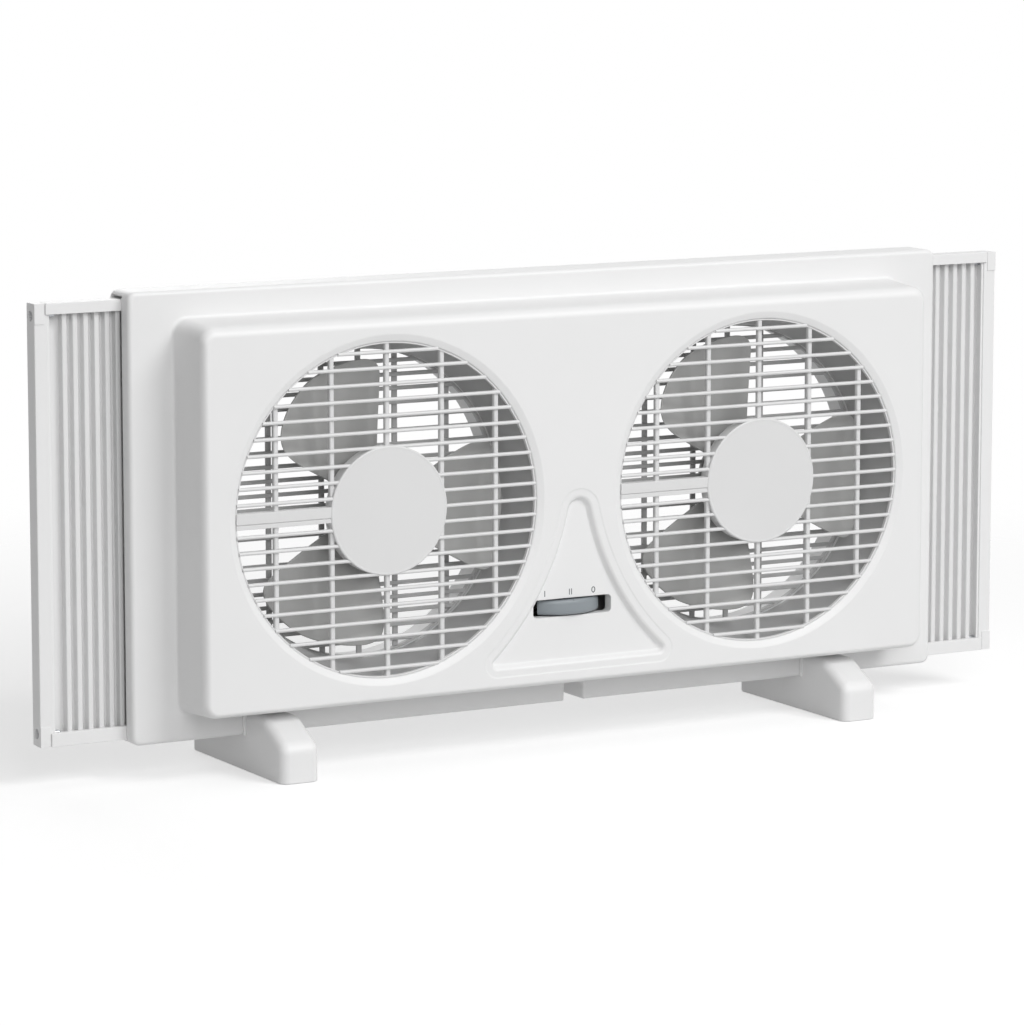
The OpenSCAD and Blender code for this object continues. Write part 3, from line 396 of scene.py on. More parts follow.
# %% Metals of the fan
def metal(name, tone, shade, roughness, stretch=(1.0, 12.0, 1.0)):
    """A metal. stretch gives the direction of its fine lines."""
    patches, lines = {"Scale": 90.0, "Detail": 2.0}, {"Scale": 260.0, "Detail": 4.0}
    return surfaced(name, tone, shade, roughness, 0.07, patches, lines, (0.3, 0.02), stretch, 1.0)


FINISH |= {
    "screw_steel": metal("zinc-plated steel", "#C9CBCE", "#B4B7BB", 0.34),
    "bracket_steel": metal("pressed steel, zinc plated", "#BFC1C4", "#ACAFB2", 0.38),
    "core_steel": metal("laminated electrical steel", "#6E7074", "#5B5D61", 0.45, (1.0, 40.0, 1.0)),
    "winding_copper": metal("enamelled copper wire", "#B5632F", "#9C4E22", 0.3, (30.0, 1.0, 30.0)),
    "bearing_bronze": metal("sintered bronze", "#A5783E", "#8C6330", 0.5, (1.0, 1.0, 1.0)),
    "terminal_brass": metal("stamped brass", "#C9A656", "#B5924A", 0.32),
}
print("slots with a finish:", len(FINISH))

# %% [markdown]
# ## Bezel
# The bezel is one deep moulding: drafted sides that meet the panel in a small fillet, a rounded
# front edge, a flat face, a wide chamfer round each opening, and a bell-shaped recess for the
# switch. Boolean cuts on a rounded box would leave hard edges and poor shading, so the whole
# front is one skin of rings, thickened inward.

# %% Bell-shaped outline of the recess
BELL_TOP, BELL_LOW = Vector((0.0, FAN_Z - 9.5)), Vector((56.5, FAN_Z - 98.0))
TOP_R, LOW_R, HOLLOW_R = 14.0, 9.0, 160.0


def bell():
    """The recess's outline: a round top, hollow sides and two round lower corners."""
    reach = (BELL_LOW - BELL_TOP).length
    way = (BELL_LOW - BELL_TOP) / reach
    along = ((HOLLOW_R + TOP_R) ** 2 - (HOLLOW_R + LOW_R) ** 2 + reach**2) / (2 * reach)
    aside = math.sqrt((HOLLOW_R + TOP_R) ** 2 - along**2)
    hollow = BELL_TOP + way * along + Vector((-way.y, way.x)) * aside
    top_angle = math.atan2(hollow.y - BELL_TOP.y, hollow.x - BELL_TOP.x)
    low_angle = math.atan2(hollow.y - BELL_LOW.y, hollow.x - BELL_LOW.x)
    arcs = (
        (BELL_TOP, TOP_R, math.pi / 2, top_angle, 14, 1),
        (hollow, HOLLOW_R, top_angle + math.pi, low_angle + math.pi, 24, -1),
        (BELL_LOW, LOW_R, low_angle, -math.pi / 2, 14, 1),
    )
    half = []
    for middle, r, first, last, steps, side in arcs:
        for k in range(steps + 1):
            a = first + (last - first) * k / steps
            ray = Vector((math.cos(a), math.sin(a)))
            half.append((middle + ray * r, ray * side))
    return half + [(Vector((-p.x, p.y)), Vector((-n.x, n.y))) for p, n in reversed(half)]


# %% Sides and front edge of the bezel
# The drafts and the widths of the rounded edge are those of the sides, the top and the bottom.
# The edge is rounder at the top than elsewhere, as it looks in the photograph.
DRAFTS, EDGES, EDGE_DEEP = (0.8, 2.0, 1.4), (4.4, 6.4, 3.6), 6.0
FILLET = [(-1.6, -13.02), (-0.9, -13.3), (-0.4, -13.9), (-0.1, -14.8), (0, -16.2)]
sides = [((inset,) * 3, y) for inset, y in FILLET]
foot_y = FILLET[-1][1]
rise = BEZEL_FRONT + EDGE_DEEP - foot_y
sides += [([draft * k / 4 for draft in DRAFTS], foot_y + rise * k / 4) for k in range(1, 5)]
for used, left in quarter(12)[1:]:
    sides.append(([draft + edge * used for draft, edge in zip(DRAFTS, EDGES)], BEZEL_FRONT + EDGE_DEEP * left))
bezel = bmesh.new()
rings = []
for (wide, high, under), y in sides:
    corner = max(BEZEL_CORNER - max(wide - DRAFTS[0], 0.0), 0.5)
    size = BEZEL_W / 2 - wide, BEZEL_H / 2 - (high + under) / 2
    rings.append(ring(bezel, round_rect(*size, corner, 0, FAN_Z + (under - high) / 2, 10), y))
strip(bezel, rings)
print("rings of the bezel's sides:", len(rings))

# %% Openings, recess and slot of the bezel
# How far out from the opening and how deep each ring of its chamfer lies.
CHAMFER = [(4.9, 0), (4.4, 0.04), (3.9, 0.18), (0.9, 1.44), (0.45, 1.67), (0.15, 1.95), (0, 2.3), (0, 2.65)]
openings = mouths(bezel, [(OPENING_R + wide, BEZEL_FRONT + deep) for wide, deep in CHAMFER], 160)
# A shallow step goes round the recess, and then a slope of this width and depth leads to its floor.
SLOPE_IN, SLOPE_W, SLOPE_DEEP = 5.1, 3.1, 3.3
steps = [(-0.2, -49), (0.15, -48.95), (0.5, -48.78), (0.9, -48.66), (1.3, -48.62), (4.3, -48.6), (4.7, -48.52)]
for k in range(9):
    steps.append((SLOPE_IN + SLOPE_W * k / 8, -48.3 + SLOPE_DEEP * (1 - math.cos(math.pi * k / 8)) / 2))
contours = [ring(bezel, bell(), y, inset) for inset, y in steps]
strip(bezel, contours)
flat(bezel, rings[-1], [*openings, contours[0]])
slot_rings = []
for grow, y in ((0.35, FLOOR_OF_RECESS), (0.12, -44.92), (0, -44.65), (0, -38)):
    slot_rings.append(ring(bezel, round_rect(27 + grow, 5.4 + grow, 2.5 + grow, SWITCH_X, WHEEL_Z), y))
strip(bezel, slot_rings)
flat(bezel, contours[-1], [slot_rings[0]])
finish("bezel_shell", bezel, "white_abs", ["front_bezel"], wall=2.2, facing=(0, -1, 0))

# %% [markdown]
# ## Panel
# The panel is a shallow box in two mouldings that meet in a seam near the back. Its edges are
# rounded 2.6 mm. It has a notch in its lower edge and an open slot in each end for an extender.
# One outline with the notch in it serves both mouldings.

# %% Outline of the panel
panel_w, low, top = PANEL_W / 2, PANEL_LOW, PANEL_LOW + PANEL_H
NOTCH_LEFT, NOTCH_RIGHT, NOTCH_TOP = 10, 23, low + 11
PANEL = [
    (-panel_w, low, 5), (NOTCH_LEFT, low, 1.6), (NOTCH_LEFT, NOTCH_TOP, 1.2), (NOTCH_RIGHT, NOTCH_TOP, 1.2),
    (NOTCH_RIGHT, low, 1.6), (panel_w, low, 5), (panel_w, top, 5), (-panel_w, top, 5),
]
EDGE_R = 2.6
soft_edge = [(EDGE_R * used, EDGE_R * left) for used, left in quarter(6)]


def panel_ring(mesh, inset, y):
    """The panel's outline drawn in by inset, and by a third of it at the notch."""
    points = outline(PANEL, 9)
    notch = [i for i, (p, n) in enumerate(points) if abs(p.x) < 40]
    down = Vector((0, -1))
    points.insert(notch[-1] + 1, (Vector((NOTCH_RIGHT + 7, low)), down))
    points.insert(notch[0], (Vector((NOTCH_LEFT - 7, low)), down))
    near = [0.35 if NOTCH_LEFT - 3.5 < p.x < NOTCH_RIGHT + 3.5 else 1.0 for p, n in points]
    return ring(mesh, [(p, n * share) for (p, n), share in zip(points, near)], y, inset)


def in_slot(a, b):
    """True on the open end of the panel, where an extender comes out."""
    return min(abs(a.x), abs(b.x)) > (panel_w - 0.7) * MM


# %% Front moulding of the panel
front = bmesh.new()
wraps = [panel_ring(front, inset, PANEL_FRONT + y) for inset, y in reversed(soft_edge)]
wraps.append(panel_ring(front, 0.0, -4.0))
strip(front, wraps)
strip(front, [wraps[-1], panel_ring(front, 0.0, SEAM)], skip=in_slot)
flat(front, wraps[0], mouths(front, [(ORIFICE_R, PANEL_FRONT)]))
finish("panel_shell", front, "white_abs", ["panel_frame"], wall=2.3, facing=(0, -1, 0))

# %% Back moulding of the panel, with the outlet tubes
back = bmesh.new()
wraps = [panel_ring(back, 0.0, SEAM + 0.15)]
wraps += [panel_ring(back, inset, PANEL_BACK - y * 0.8) for inset, y in soft_edge]
strip(back, wraps)
MOUTH = [(97.3, 13), (96.9, 12.93), (96.4, 12.7), (94.2, 10.8), (93.7, 10.3), (93.5, 9.8), (93.5, -6.2)]
flat(back, wraps[-1], mouths(back, MOUTH))
finish("back_shell", back, "white_abs", ["back_panel"], wall=2.2, facing=(0, 1, 0))

# %% [markdown]
# ## Ducts
# A cone leads the air from each opening to the orifice. It is a white moulding, and its light
# grey is painted shade. Its wall steps in slightly three times, where the mould's sections meet,
# and those steps show as faint lines behind the bars.

# %% Ducts
INSIDE = [
    (100.3, -44.4), (99, -38.6), (98.75, -38.2), (97.2, -31.6), (96.95, -31.2), (95.2, -24.2), (94.95, -23.8),
    (93.1, -15.9), (93, -15.3), (93, -13.1),
]
OUTSIDE = [
    (108, -13.1), (108, -15.1), (95.4, -15.1), (97, -24), (99.2, -31.4), (101, -38.4), (102.3, -44.4)
]
for side, sign in SIDES.items():
    duct = bmesh.new()
    lathe(duct, INSIDE + OUTSIDE, sign * FAN_X, FAN_Z)
    finish(f"duct_cone_{side}", duct, "duct_grey", [f"air_duct_{side}"], angle=50)

# %% [markdown]
# ## Grille bars
# Each grille is a row of level bars in front of a row of upright stays, cut off by a circle.
# A real grille is one moulding, and the bars are all alike but for their length, so one node
# tree lays them all: it takes a bar 1 m long, sets it on a line of points, and scales each one
# to the chord of the circle at its own height. The same tree lays the ribs of the sheets.


# %% Start, middle and end of a tree
def new_tree(name, inputs):
    """A geometry node tree with these named inputs, their sockets in it and its output node."""
    tree = bpy.data.node_groups.new(name, "GeometryNodeTree")
    tree.interface.new_socket("Geometry", in_out="OUTPUT", socket_type="NodeSocketGeometry")
    for label, kind in inputs.items():
        tree.interface.new_socket(label, in_out="INPUT", socket_type="NodeSocket" + kind)
    return tree, add(tree, "NodeGroupInput").outputs, add(tree, "NodeGroupOutput")


def set_on(tree, points, obj, **how):
    """Instances of an object on the points, with a scale or a rotation."""
    shape = add(tree, "GeometryNodeObjectInfo", {"Object": obj, "As Instance": True}).outputs["Geometry"]
    return add(tree, "GeometryNodeInstanceOnPoints", {"Points": points, "Instance": shape, **how}).outputs[0]


def end_tree(tree, geometry, material, result):
    """Makes the instances real meshes of this material and hands them out."""
    real = add(tree, "GeometryNodeRealizeInstances", {"Geometry": geometry}).outputs[0]
    shown = add(tree, "GeometryNodeSetMaterial", {"Geometry": real, "Material": material}).outputs[0]
    tree.links.new(shown, result.inputs[0])
    print("nodes in the tree:", len(tree.nodes))


# %% Tree that lays a row of bars: the line of points and the length of each bar
row, take, result = new_tree(
    "row of bars",
    {
        "Bar": "Object", "Count": "Int", "Pitch": "Float", "Reach": "Float", "In a circle": "Bool",
        "Upright": "Bool", "Place": "Vector", "Both fans": "Bool", "Finish": "Material",
    },
)
lowest = add(row, "ShaderNodeMath", {0: take["Count"], 1: 1.0}, operation="SUBTRACT").outputs[0]
for share in (-0.5, take["Pitch"]):
    lowest = add(row, "ShaderNodeMath", {0: lowest, 1: share}, operation="MULTIPLY").outputs[0]
start_at = add(row, "ShaderNodeCombineXYZ", {"Z": lowest}).outputs[0]
step_by = add(row, "ShaderNodeCombineXYZ", {"Z": take["Pitch"]}).outputs[0]
line = add(row, "GeometryNodeMeshLine", {"Count": take["Count"], "Start Location": start_at, "Offset": step_by})
spot = add(row, "GeometryNodeInputPosition").outputs[0]
height = add(row, "ShaderNodeSeparateXYZ", {0: spot}).outputs["Z"]
under = add(row, "ShaderNodeMath", {0: height, 1: height}, operation="MULTIPLY").outputs[0]
whole = add(row, "ShaderNodeMath", {0: take["Reach"], 1: take["Reach"]}, operation="MULTIPLY").outputs[0]
left_over = add(row, "ShaderNodeMath", {0: whole, 1: under}, operation="SUBTRACT").outputs[0]
chord = add(row, "ShaderNodeMath", {0: left_over}, operation="SQRT").outputs[0]
either = {"Switch": take["In a circle"], "False": take["Reach"], "True": chord}
half_length = add(row, "GeometryNodeSwitch", either, input_type="FLOAT").outputs[0]
length = add(row, "ShaderNodeMath", {0: half_length, 1: 2.0}, operation="MULTIPLY").outputs[0]

# %% The same tree: the bars on their points, turned, placed and doubled
stretch = add(row, "ShaderNodeCombineXYZ", {"X": length, "Y": 1.0, "Z": 1.0}).outputs[0]
level = set_on(row, line.outputs[0], take["Bar"], Scale=stretch)
either = {"Switch": take["Upright"], "False": Vector((0, 0, 0)), "True": Vector((0, math.pi / 2, 0))}
tilt = add(row, "GeometryNodeSwitch", either, input_type="VECTOR").outputs[0]
turned = add(row, "GeometryNodeTransform", {"Geometry": level, "Rotation": tilt}).outputs[0]
flip = {0: take["Place"], 1: Vector((-1, 1, 1))}
mirrored = add(row, "ShaderNodeVectorMath", flip, operation="MULTIPLY").outputs[0]
one = add(row, "GeometryNodeTransform", {"Geometry": turned, "Translation": take["Place"]}).outputs[0]
two = add(row, "GeometryNodeTransform", {"Geometry": turned, "Translation": mirrored}).outputs[0]
either = {"Switch": take["Both fans"], "True": two}
second = add(row, "GeometryNodeSwitch", either, input_type="GEOMETRY").outputs[0]
pair = add(row, "GeometryNodeJoinGeometry")
row.links.new(one, pair.inputs[0])
row.links.new(second, pair.inputs[0])
end_tree(row, pair.outputs[0], take["Finish"], result)


# %% Run a tree
def grown(tree, values, base=None):
    """The mesh that the tree makes with these inputs, as a bmesh. base is the mesh it starts from."""
    obj = base or plain("base", bmesh.new())
    modifier = obj.modifiers.new("tree", "NODES")
    modifier.node_group = tree
    for socket in tree.interface.items_tree:
        if socket.in_out == "INPUT" and socket.name in values:
            modifier[socket.identifier] = values[socket.name]
    used_up(obj)
    made = bmesh.new()
    made.from_mesh(obj.data)
    bpy.data.objects.remove(obj)
    return made


def row_of(bar, slot, count, pitch, reach, place, upright=False, in_circle=True, both_fans=True):
    """A row of bars laid by the tree, with its sizes in millimetres."""
    sizes = {"Count": count, "Pitch": pitch * MM, "Reach": reach * MM, "Place": Vector(place) * MM}
    ways = {"Upright": upright, "In a circle": in_circle, "Both fans": both_fans}
    return grown(row, {"Bar": bar, "Finish": FINISH[slot], **sizes, **ways})


def section_bar(name, points):
    """A bar 1 m long along X with this section of (y, z) points in millimetres."""
    mesh = bmesh.new()
    prism(mesh, points, -500, 500, 0)
    return plain(name, mesh)


def soft_section(depth, height, r_front, r_back):
    """The section of a moulded bar: rounded more towards the room (-Y) than behind."""
    d, h = depth / 2, height / 2
    return [(p.x, p.y) for p, n in outline([(-d, -h, r_front), (d, -h, r_back), (d, h, r_back), (-d, h, r_front)], 4)]


# %% Front grille bars and stays
GRILLE_R = 99.6
bar = section_bar("bar", soft_section(2.3, 2.2, 1.08, 0.5))
stay = section_bar("stay", soft_section(2.8, 3.2, 1.1, 0.4))
bars = row_of(bar, "white_abs", 21, 9.4, GRILLE_R, (FAN_X, -46.7, FAN_Z))
stays = row_of(stay, "white_abs", 5, 36.5, GRILLE_R, (FAN_X, -44.6, FAN_Z), upright=True)
grilles = ["front_grille_left", "front_grille_right"]
finish("front_bars", bars, "white_abs", grilles, material=shaded_grille_abs, angle=50)
finish("front_stays", stays, "white_abs", material=shaded_grille_abs, angle=50)

# %% [markdown]
# ## Middle of the front grille
# The disc in front of the motor is flat with a fine raised rim, and its skirt reaches back
# round the motor. A channel with the wires runs from it to the rim of the opening.

# %% Discs, wire channels and rims of the front grille
DISC = [
    (0, -48.2), (36.6, -48.2), (37, -48.22), (37.4, -48.35), (37.8, -48.36), (38.2, -48.2), (38.5, -47.8),
    (38.5, -40.2), (38.3, -40), (36.7, -40), (36.5, -40.2), (36.5, -46), (0, -46),
]
RIM = [(98.9, -46.4), (99.1, -46.6), (99.8, -46.6), (99.8, -46.3), (104, -46.3), (104, -44.5), (98.9, -44.3)]
CHANNEL = [
    (-47.6, -4.7), (-47.6, -2.2), (-47, -2.15), (-47, -1.65), (-47.85, -1.6), (-47.85, 4.7), (-41.6, 4.7),
    (-41.6, 3.3), (-46, 3.3), (-46, -3.3), (-41.6, -3.3), (-41.6, -4.7),
]
hubs = bmesh.new()
for x in (-FAN_X, FAN_X):
    lathe(hubs, DISC, x, FAN_Z, closed=False)
    lathe(hubs, RIM, x, FAN_Z)
    prism(hubs, [(y, FAN_Z + z) for y, z in CHANNEL], x - 99.4, x - 37.0, 0.2)
finish("front_discs", hubs, "white_abs", material=shaded_grille_abs)

# %% [markdown]
# ## Rear grille
# The rear grille is a smaller one, seen through the blades. It is white plastic, and its pale grey is painted shade.

# %% Rear grille
REAR_R, STAY_XS = 92.4, (-59.5, -24.5, 0.0, 24.5, 59.5)
HOOP = [(92, -10.1), (92.3, -10.4), (97.7, -10.4), (98, -10.1), (98, -6.3), (92.3, -6.3), (92, -6.6)]
BOSS = [(0, -9.4), (19.6, -9.4), (20, -9), (20, -6.9), (19.5, -6.5), (0, -6.5)]
rear_bar = section_bar("rear bar", soft_section(2.0, 2.5, 0.5, 0.8))
rear_stay = section_bar("rear stay", soft_section(1.9, 3.4, 0.4, 0.6))
bars = row_of(rear_bar, "rear_grille_grey", 21, 8.4, REAR_R, (FAN_X, -9.1, FAN_Z))
rear_mesh = bmesh.new()
for x in (-FAN_X, FAN_X):
    lathe(rear_mesh, HOOP, x, FAN_Z)
    lathe(rear_mesh, BOSS, x, FAN_Z, closed=False)
for x in STAY_XS:
    reach, place = math.sqrt(REAR_R**2 - x**2), (FAN_X, -7.55, FAN_Z)
    upright = row_of(rear_stay, "rear_grille_grey", 1, 1.0, reach, place, upright=True, in_circle=False)
    upright.transform(Matrix.Translation((x * MM, 0, 0)))
    rear_mesh.from_mesh(stored("upright", upright))
finish("rear_bars", bars, "rear_grille_grey", ["rear_grille_left", "rear_grille_right"], angle=50)
finish("rear_frame", rear_mesh, "rear_grille_grey", angle=50)

# %% [markdown]
# ## Blades
# Each fan has three wide blades on a cup that goes over the motor. A blade is a slice of a large
# tube, hollow towards the room, so one height formula gives the depth of every point on it. Its
# outline is a smooth closed curve through twelve points: a straight edge, a round tip and a lobe.
# Rings drawn in from the outline make both faces, and the outermost ones round its 1.6 mm edge.
# The three blades are alike, so a node tree turns one of them round the shaft.


# %% Outline and depth of a blade
def smooth_loop(points, steps=10):
    """A closed curve through the points, as positions and outward normals."""
    curve = []
    for i in range(len(points)):
        a, b, c, d = (Vector(points[(i + k) % len(points)]) for k in (-1, 0, 1, 2))
        for t in (k / steps for k in range(steps)):
            bend = (2 * a - 5 * b + 4 * c - d) * t**2 + (3 * b - a - 3 * c + d) * t**3
            curve.append(0.5 * (2 * b + (c - a) * t + bend))
    loop = []
    for i, p in enumerate(curve):
        along = (curve[(i + 1) % len(curve)] - curve[i - 1]).normalized()
        loop.append((p, Vector((along.y, -along.x))))
    return loop


BLADE_T, CAMBER_R, LEAN, MID = 1.6, 95.0, math.radians(10), math.radians(33)
BLADE = [
    (2.5, 18), (3.2, 34), (3.2, 70), (1.5, 84), (-7, 88.4), (-25, 84.6),
    (-43, 76), (-59, 60), (-66, 45), (-60, 33.6), (-38, 21), (-17, 12),
]
BLADE_Y = -30.35


def blade_depth(x, z):
    """The depth of the blade's middle surface at a point of its outline, from the fan axis."""
    across = math.hypot(x, z) * math.sin(math.atan2(-x, z) - MID)
    low_centre = (CAMBER_R - 4) * math.sin(LEAN)
    hollow = math.sqrt((CAMBER_R - BLADE_T / 2) ** 2 - (across + low_centre) ** 2)
    return BLADE_Y - (CAMBER_R - 4) * math.cos(LEAN) + hollow


# %% One blade
blade = bmesh.new()
edge = smooth_loop(BLADE)
heart, half = Vector((-22.0, 50.0)), BLADE_T / 2
skins = []
for face in (-1, 1):
    places = [[(p - n * half * used, half * (1 - left)) for p, n in edge] for used, left in quarter(4)]
    inmost = [p for p, rise in places[-1]]
    places += [[(heart + (p - heart) * share, half) for p in inmost] for share in (0.93, 0.82, 0.68, 0.5, 0.3, 0.12)]
    deep = [[Vector((p.x, blade_depth(*p) + face * rise, p.y)) * MM for p, rise in place] for place in places]
    skins.append([[blade.verts.new(p) for p in place] for place in deep])
strip(blade, list(reversed(skins[0])) + skins[1])
for skin in skins:
    blade.faces.new(skin[-1])
bmesh.ops.remove_doubles(blade, verts=blade.verts, dist=2e-6)
one_blade = plain("one blade", blade)
print("blade points:", len(one_blade.data.vertices))

# %% Tree that turns the blades round the shaft
ring_tree, take, result = new_tree(
    "ring of blades", {"Blade": "Object", "Count": "Int", "Place": "Vector", "Finish": "Material"}
)
dots = add(ring_tree, "GeometryNodeMeshLine", {"Count": take["Count"], "Offset": Vector((0, 0, 0))}).outputs[0]
index = add(ring_tree, "GeometryNodeInputIndex").outputs[0]
share = add(ring_tree, "ShaderNodeMath", {0: index, 1: take["Count"]}, operation="DIVIDE").outputs[0]
spun = add(ring_tree, "ShaderNodeMath", {0: share, 1: -2 * math.pi}, operation="MULTIPLY").outputs[0]
angles = add(ring_tree, "ShaderNodeCombineXYZ", {"Y": spun}).outputs[0]
turn = add(ring_tree, "FunctionNodeEulerToRotation", {0: angles}).outputs[0]
held = set_on(ring_tree, dots, take["Blade"], Rotation=turn)
moved = add(ring_tree, "GeometryNodeTransform", {"Geometry": held, "Translation": take["Place"]}).outputs[0]
end_tree(ring_tree, moved, take["Finish"], result)

# %% Blades on their cups
CUP = [
    (25, -38.6), (25.4, -39), (26.4, -39), (27, -38.4), (27, -23.6), (26.4, -22.2), (25, -21.7),
    (9, -21.7), (7.4, -21.4), (7, -20.6), (7, -18.6), (6.6, -18.2), (3.4, -18.2), (3.1, -18.5), (3.1, -23.7),
    (24.0, -23.7), (25.0, -24.6),
]
for side, sign in SIDES.items():
    place = Vector((sign * FAN_X, 0, FAN_Z)) * MM
    fan = grown(ring_tree, {"Blade": one_blade, "Count": 3, "Place": place, "Finish": FINISH["blade_grey"]})
    lathe(fan, CUP, sign * FAN_X, FAN_Z, 96)
    finish(f"blade_set_{side}", fan, "blade_grey", [f"fan_blades_{side}"], f"fan_{side}")

# %% [markdown]
# ## Thumbwheel
# The switch is worked by a slice of a wheel whose rim shows in the slot. The rim is slightly
# crowned, with rounded edges, and a small rib on its top edge shows where the middle is.

# %% Thumbwheel
half_t, HALF_SLICE = WHEEL_T / 2, 46
half_crown = [(-6, half_t), (-1.6, half_t), (-0.8, half_t - 0.3), (-0.25, half_t - 1.0), (0, half_t - 2.5)]
crown = [(WHEEL_R + r, -z) for r, z in half_crown] + [(WHEEL_R + r, z) for r, z in reversed(half_crown)]


def on_wheel(r, degrees):
    """The place (x, y) at this radius and angle. The middle of the slice is at 0, to the front."""
    a = math.radians(degrees - 90)
    return SWITCH_X + r * math.cos(a), WHEEL_Y + r * math.sin(a)


wheel = bmesh.new()
slices = []
for degrees in range(-HALF_SLICE, HALF_SLICE + 1, 2):
    slices.append([wheel.verts.new(Vector((*on_wheel(r, degrees), WHEEL_Z + z)) * MM) for r, z in crown])
strip(wheel, slices)
wheel.faces.new(slices[0])
wheel.faces.new(slices[-1])
web = [(SWITCH_X, WHEEL_Y)] + [on_wheel(WHEEL_R - 5.5, 4 * k - HALF_SLICE) for k in range(24)]
prism(wheel, web, WHEEL_Z - 1.5, WHEEL_Z + 1.5, 0.3, axis="Z")
for r, low_z, high_z in ((5.0, -half_t, half_t), (2.5, -17.0, 0.1 - half_t)):
    hub = [on_wheel(r, 90 + 11.25 * k) for k in range(32)]
    prism(wheel, hub, WHEEL_Z + low_z, WHEEL_Z + high_z, 0.3, axis="Z")
rim_y = WHEEL_Y - WHEEL_R
box(wheel, (SWITCH_X - 0.6, rim_y + 0.5, WHEEL_Z + 4.3), (SWITCH_X + 0.6, rim_y + 4.5, WHEEL_Z + 4.75), 0.15)
finish("switch_wheel", wheel, "wheel_grey", ["switch_thumbwheel"], "thumbwheel")

# %% [markdown]
# ## Switch marks
# I, II and O, printed above the slot on the floor of the recess. They are films of ink
# 0.05 mm thick, drawn as flat bars and a ring.

# %% Switch marks
marks = bmesh.new()
MARK_Z, MARK_H, STROKE, FILM = 95.7, 3.6, 0.5, 0.05
O_X, O_W, O_H, O_STROKE = 11.6, 2.7, 3.8, 0.55
front_y, back_y = FLOOR_OF_RECESS - FILM, FLOOR_OF_RECESS + FILM
for x in (-22.2, -5.1, -3.6):
    stroke = rectangle((x - STROKE / 2, MARK_Z - MARK_H / 2), (x + STROKE / 2, MARK_Z + MARK_H / 2))
    prism(marks, stroke, front_y, back_y, 0, axis="Y")
rings = []
for grow, y in ((0.0, back_y), (0.0, front_y), (O_STROKE, front_y), (O_STROKE, back_y)):
    size = Vector((O_W / 2 - grow, O_H / 2 - grow))
    oval = [(Vector((O_X, MARK_Z)) + p * size, n) for p, n in circle(1.0, count=40)]
    rings.append(ring(marks, oval, y))
strip(marks, rings + rings[:1])
finish("switch_marks", marks, "switch_black", material=ink)

# %% [markdown]
# ## Feet
# Each foot is a block that clasps the panel's lower edge from both faces, with a shoulder that
# slopes up under the bezel. Its outside edges are rounded 5.6 mm and those on the floor 1 mm, and
# only its inside ones, against the panel, are crisp. A thin plate on it lies against the panel.

# %% Feet
CLASP, CREST, CREST_Y, SHOULDER = 13.1, 35.8, 37.0, 22.5


def foot_mesh(x):
    """A foot about the plane x: its section along Y, drawn out along X."""
    mesh = bmesh.new()
    half = FOOT_L / 2
    right = [(CLASP, 21.4), (CLASP, CREST), (CREST_Y, CREST), (half, SHOULDER), (half, 0.0)]
    prism(mesh, right + [(-y, z) for y, z in reversed(right)], x - FOOT_W / 2, x + FOOT_W / 2, 0)
    inner = [e for e in mesh.edges if max(abs(v.co.y) for v in e.verts) < 14 * MM]
    under = [e for e in mesh.edges if max(v.co.z for v in e.verts) < MM]
    soften(mesh, [e for e in mesh.edges if e not in inner and e not in under], 5.6, 8)
    flats = [e for e in mesh.edges if max(v.co.z for v in e.verts) < 0.2 * MM and len(e.link_faces) == 2]
    soften(mesh, [e for e in flats if e.calc_face_angle(0) > 0.5], 1.0)
    for s in (-1, 1):
        ys = sorted((s * CLASP, s * (CLASP + 1.3)))
        box(mesh, (x - FOOT_W / 2 - 1.6, ys[0], 21.6), (x + FOOT_W / 2 + 1.6, ys[1], 35.2), 0.45)
    return mesh


for side, sign in SIDES.items():
    foot, up = foot_mesh(sign * FOOT_X), (0, 0, 1)
    screw_holes = [((sign * FOOT_X, y, 7.0), up, 3.5, 14.4) for y in (-6, 6)]
    finish(f"foot_block_{side}", foot, "white_abs", [f"foot_{side}"], drilled=screw_holes)

# %% [markdown]
# ## Extenders
# An extender is a ladder of two rails and an end cap that holds a ribbed sheet. Its parts are
# extruded or moulded bars with edges of 0.5 mm or so. The sheet is laid by the row tree:
# one rib of the sheet, set side by side.


# %% End caps and rails
def side_box(mesh, sign, near, far, low, high, round_mm):
    """A block on one side of the fan, between two distances from its middle. low and high are (y, z)."""
    xs = sorted((sign * near, sign * far))
    box(mesh, (xs[0], *low), (xs[1], *high), round_mm)


def rail_mesh(sign, low_z, high_z, opens_up):
    """A rail with a groove along it for the sheet's edge, and a thin plate on its front."""
    rail = bmesh.new()
    shut_z, open_z = (low_z, high_z) if opens_up else (high_z, low_z)
    deep = open_z - GROOVE_DEEP if opens_up else open_z + GROOVE_DEEP
    section = [
        (EXT_FRONT, shut_z), (EXT_FRONT, open_z), (GROOVE_FRONT, open_z), (GROOVE_FRONT, deep),
        (GROOVE_BACK, deep), (GROOVE_BACK, open_z), (EXT_BACK, open_z), (EXT_BACK, shut_z),
    ]
    prism(rail, section, *sorted((sign * RAIL_END, sign * 325.6)), 0.3)
    side_box(rail, sign, RAIL_END, 327.2, (EXT_FRONT - 1.2, low_z), (EXT_FRONT + 0.02, high_z), 0.3)
    return rail


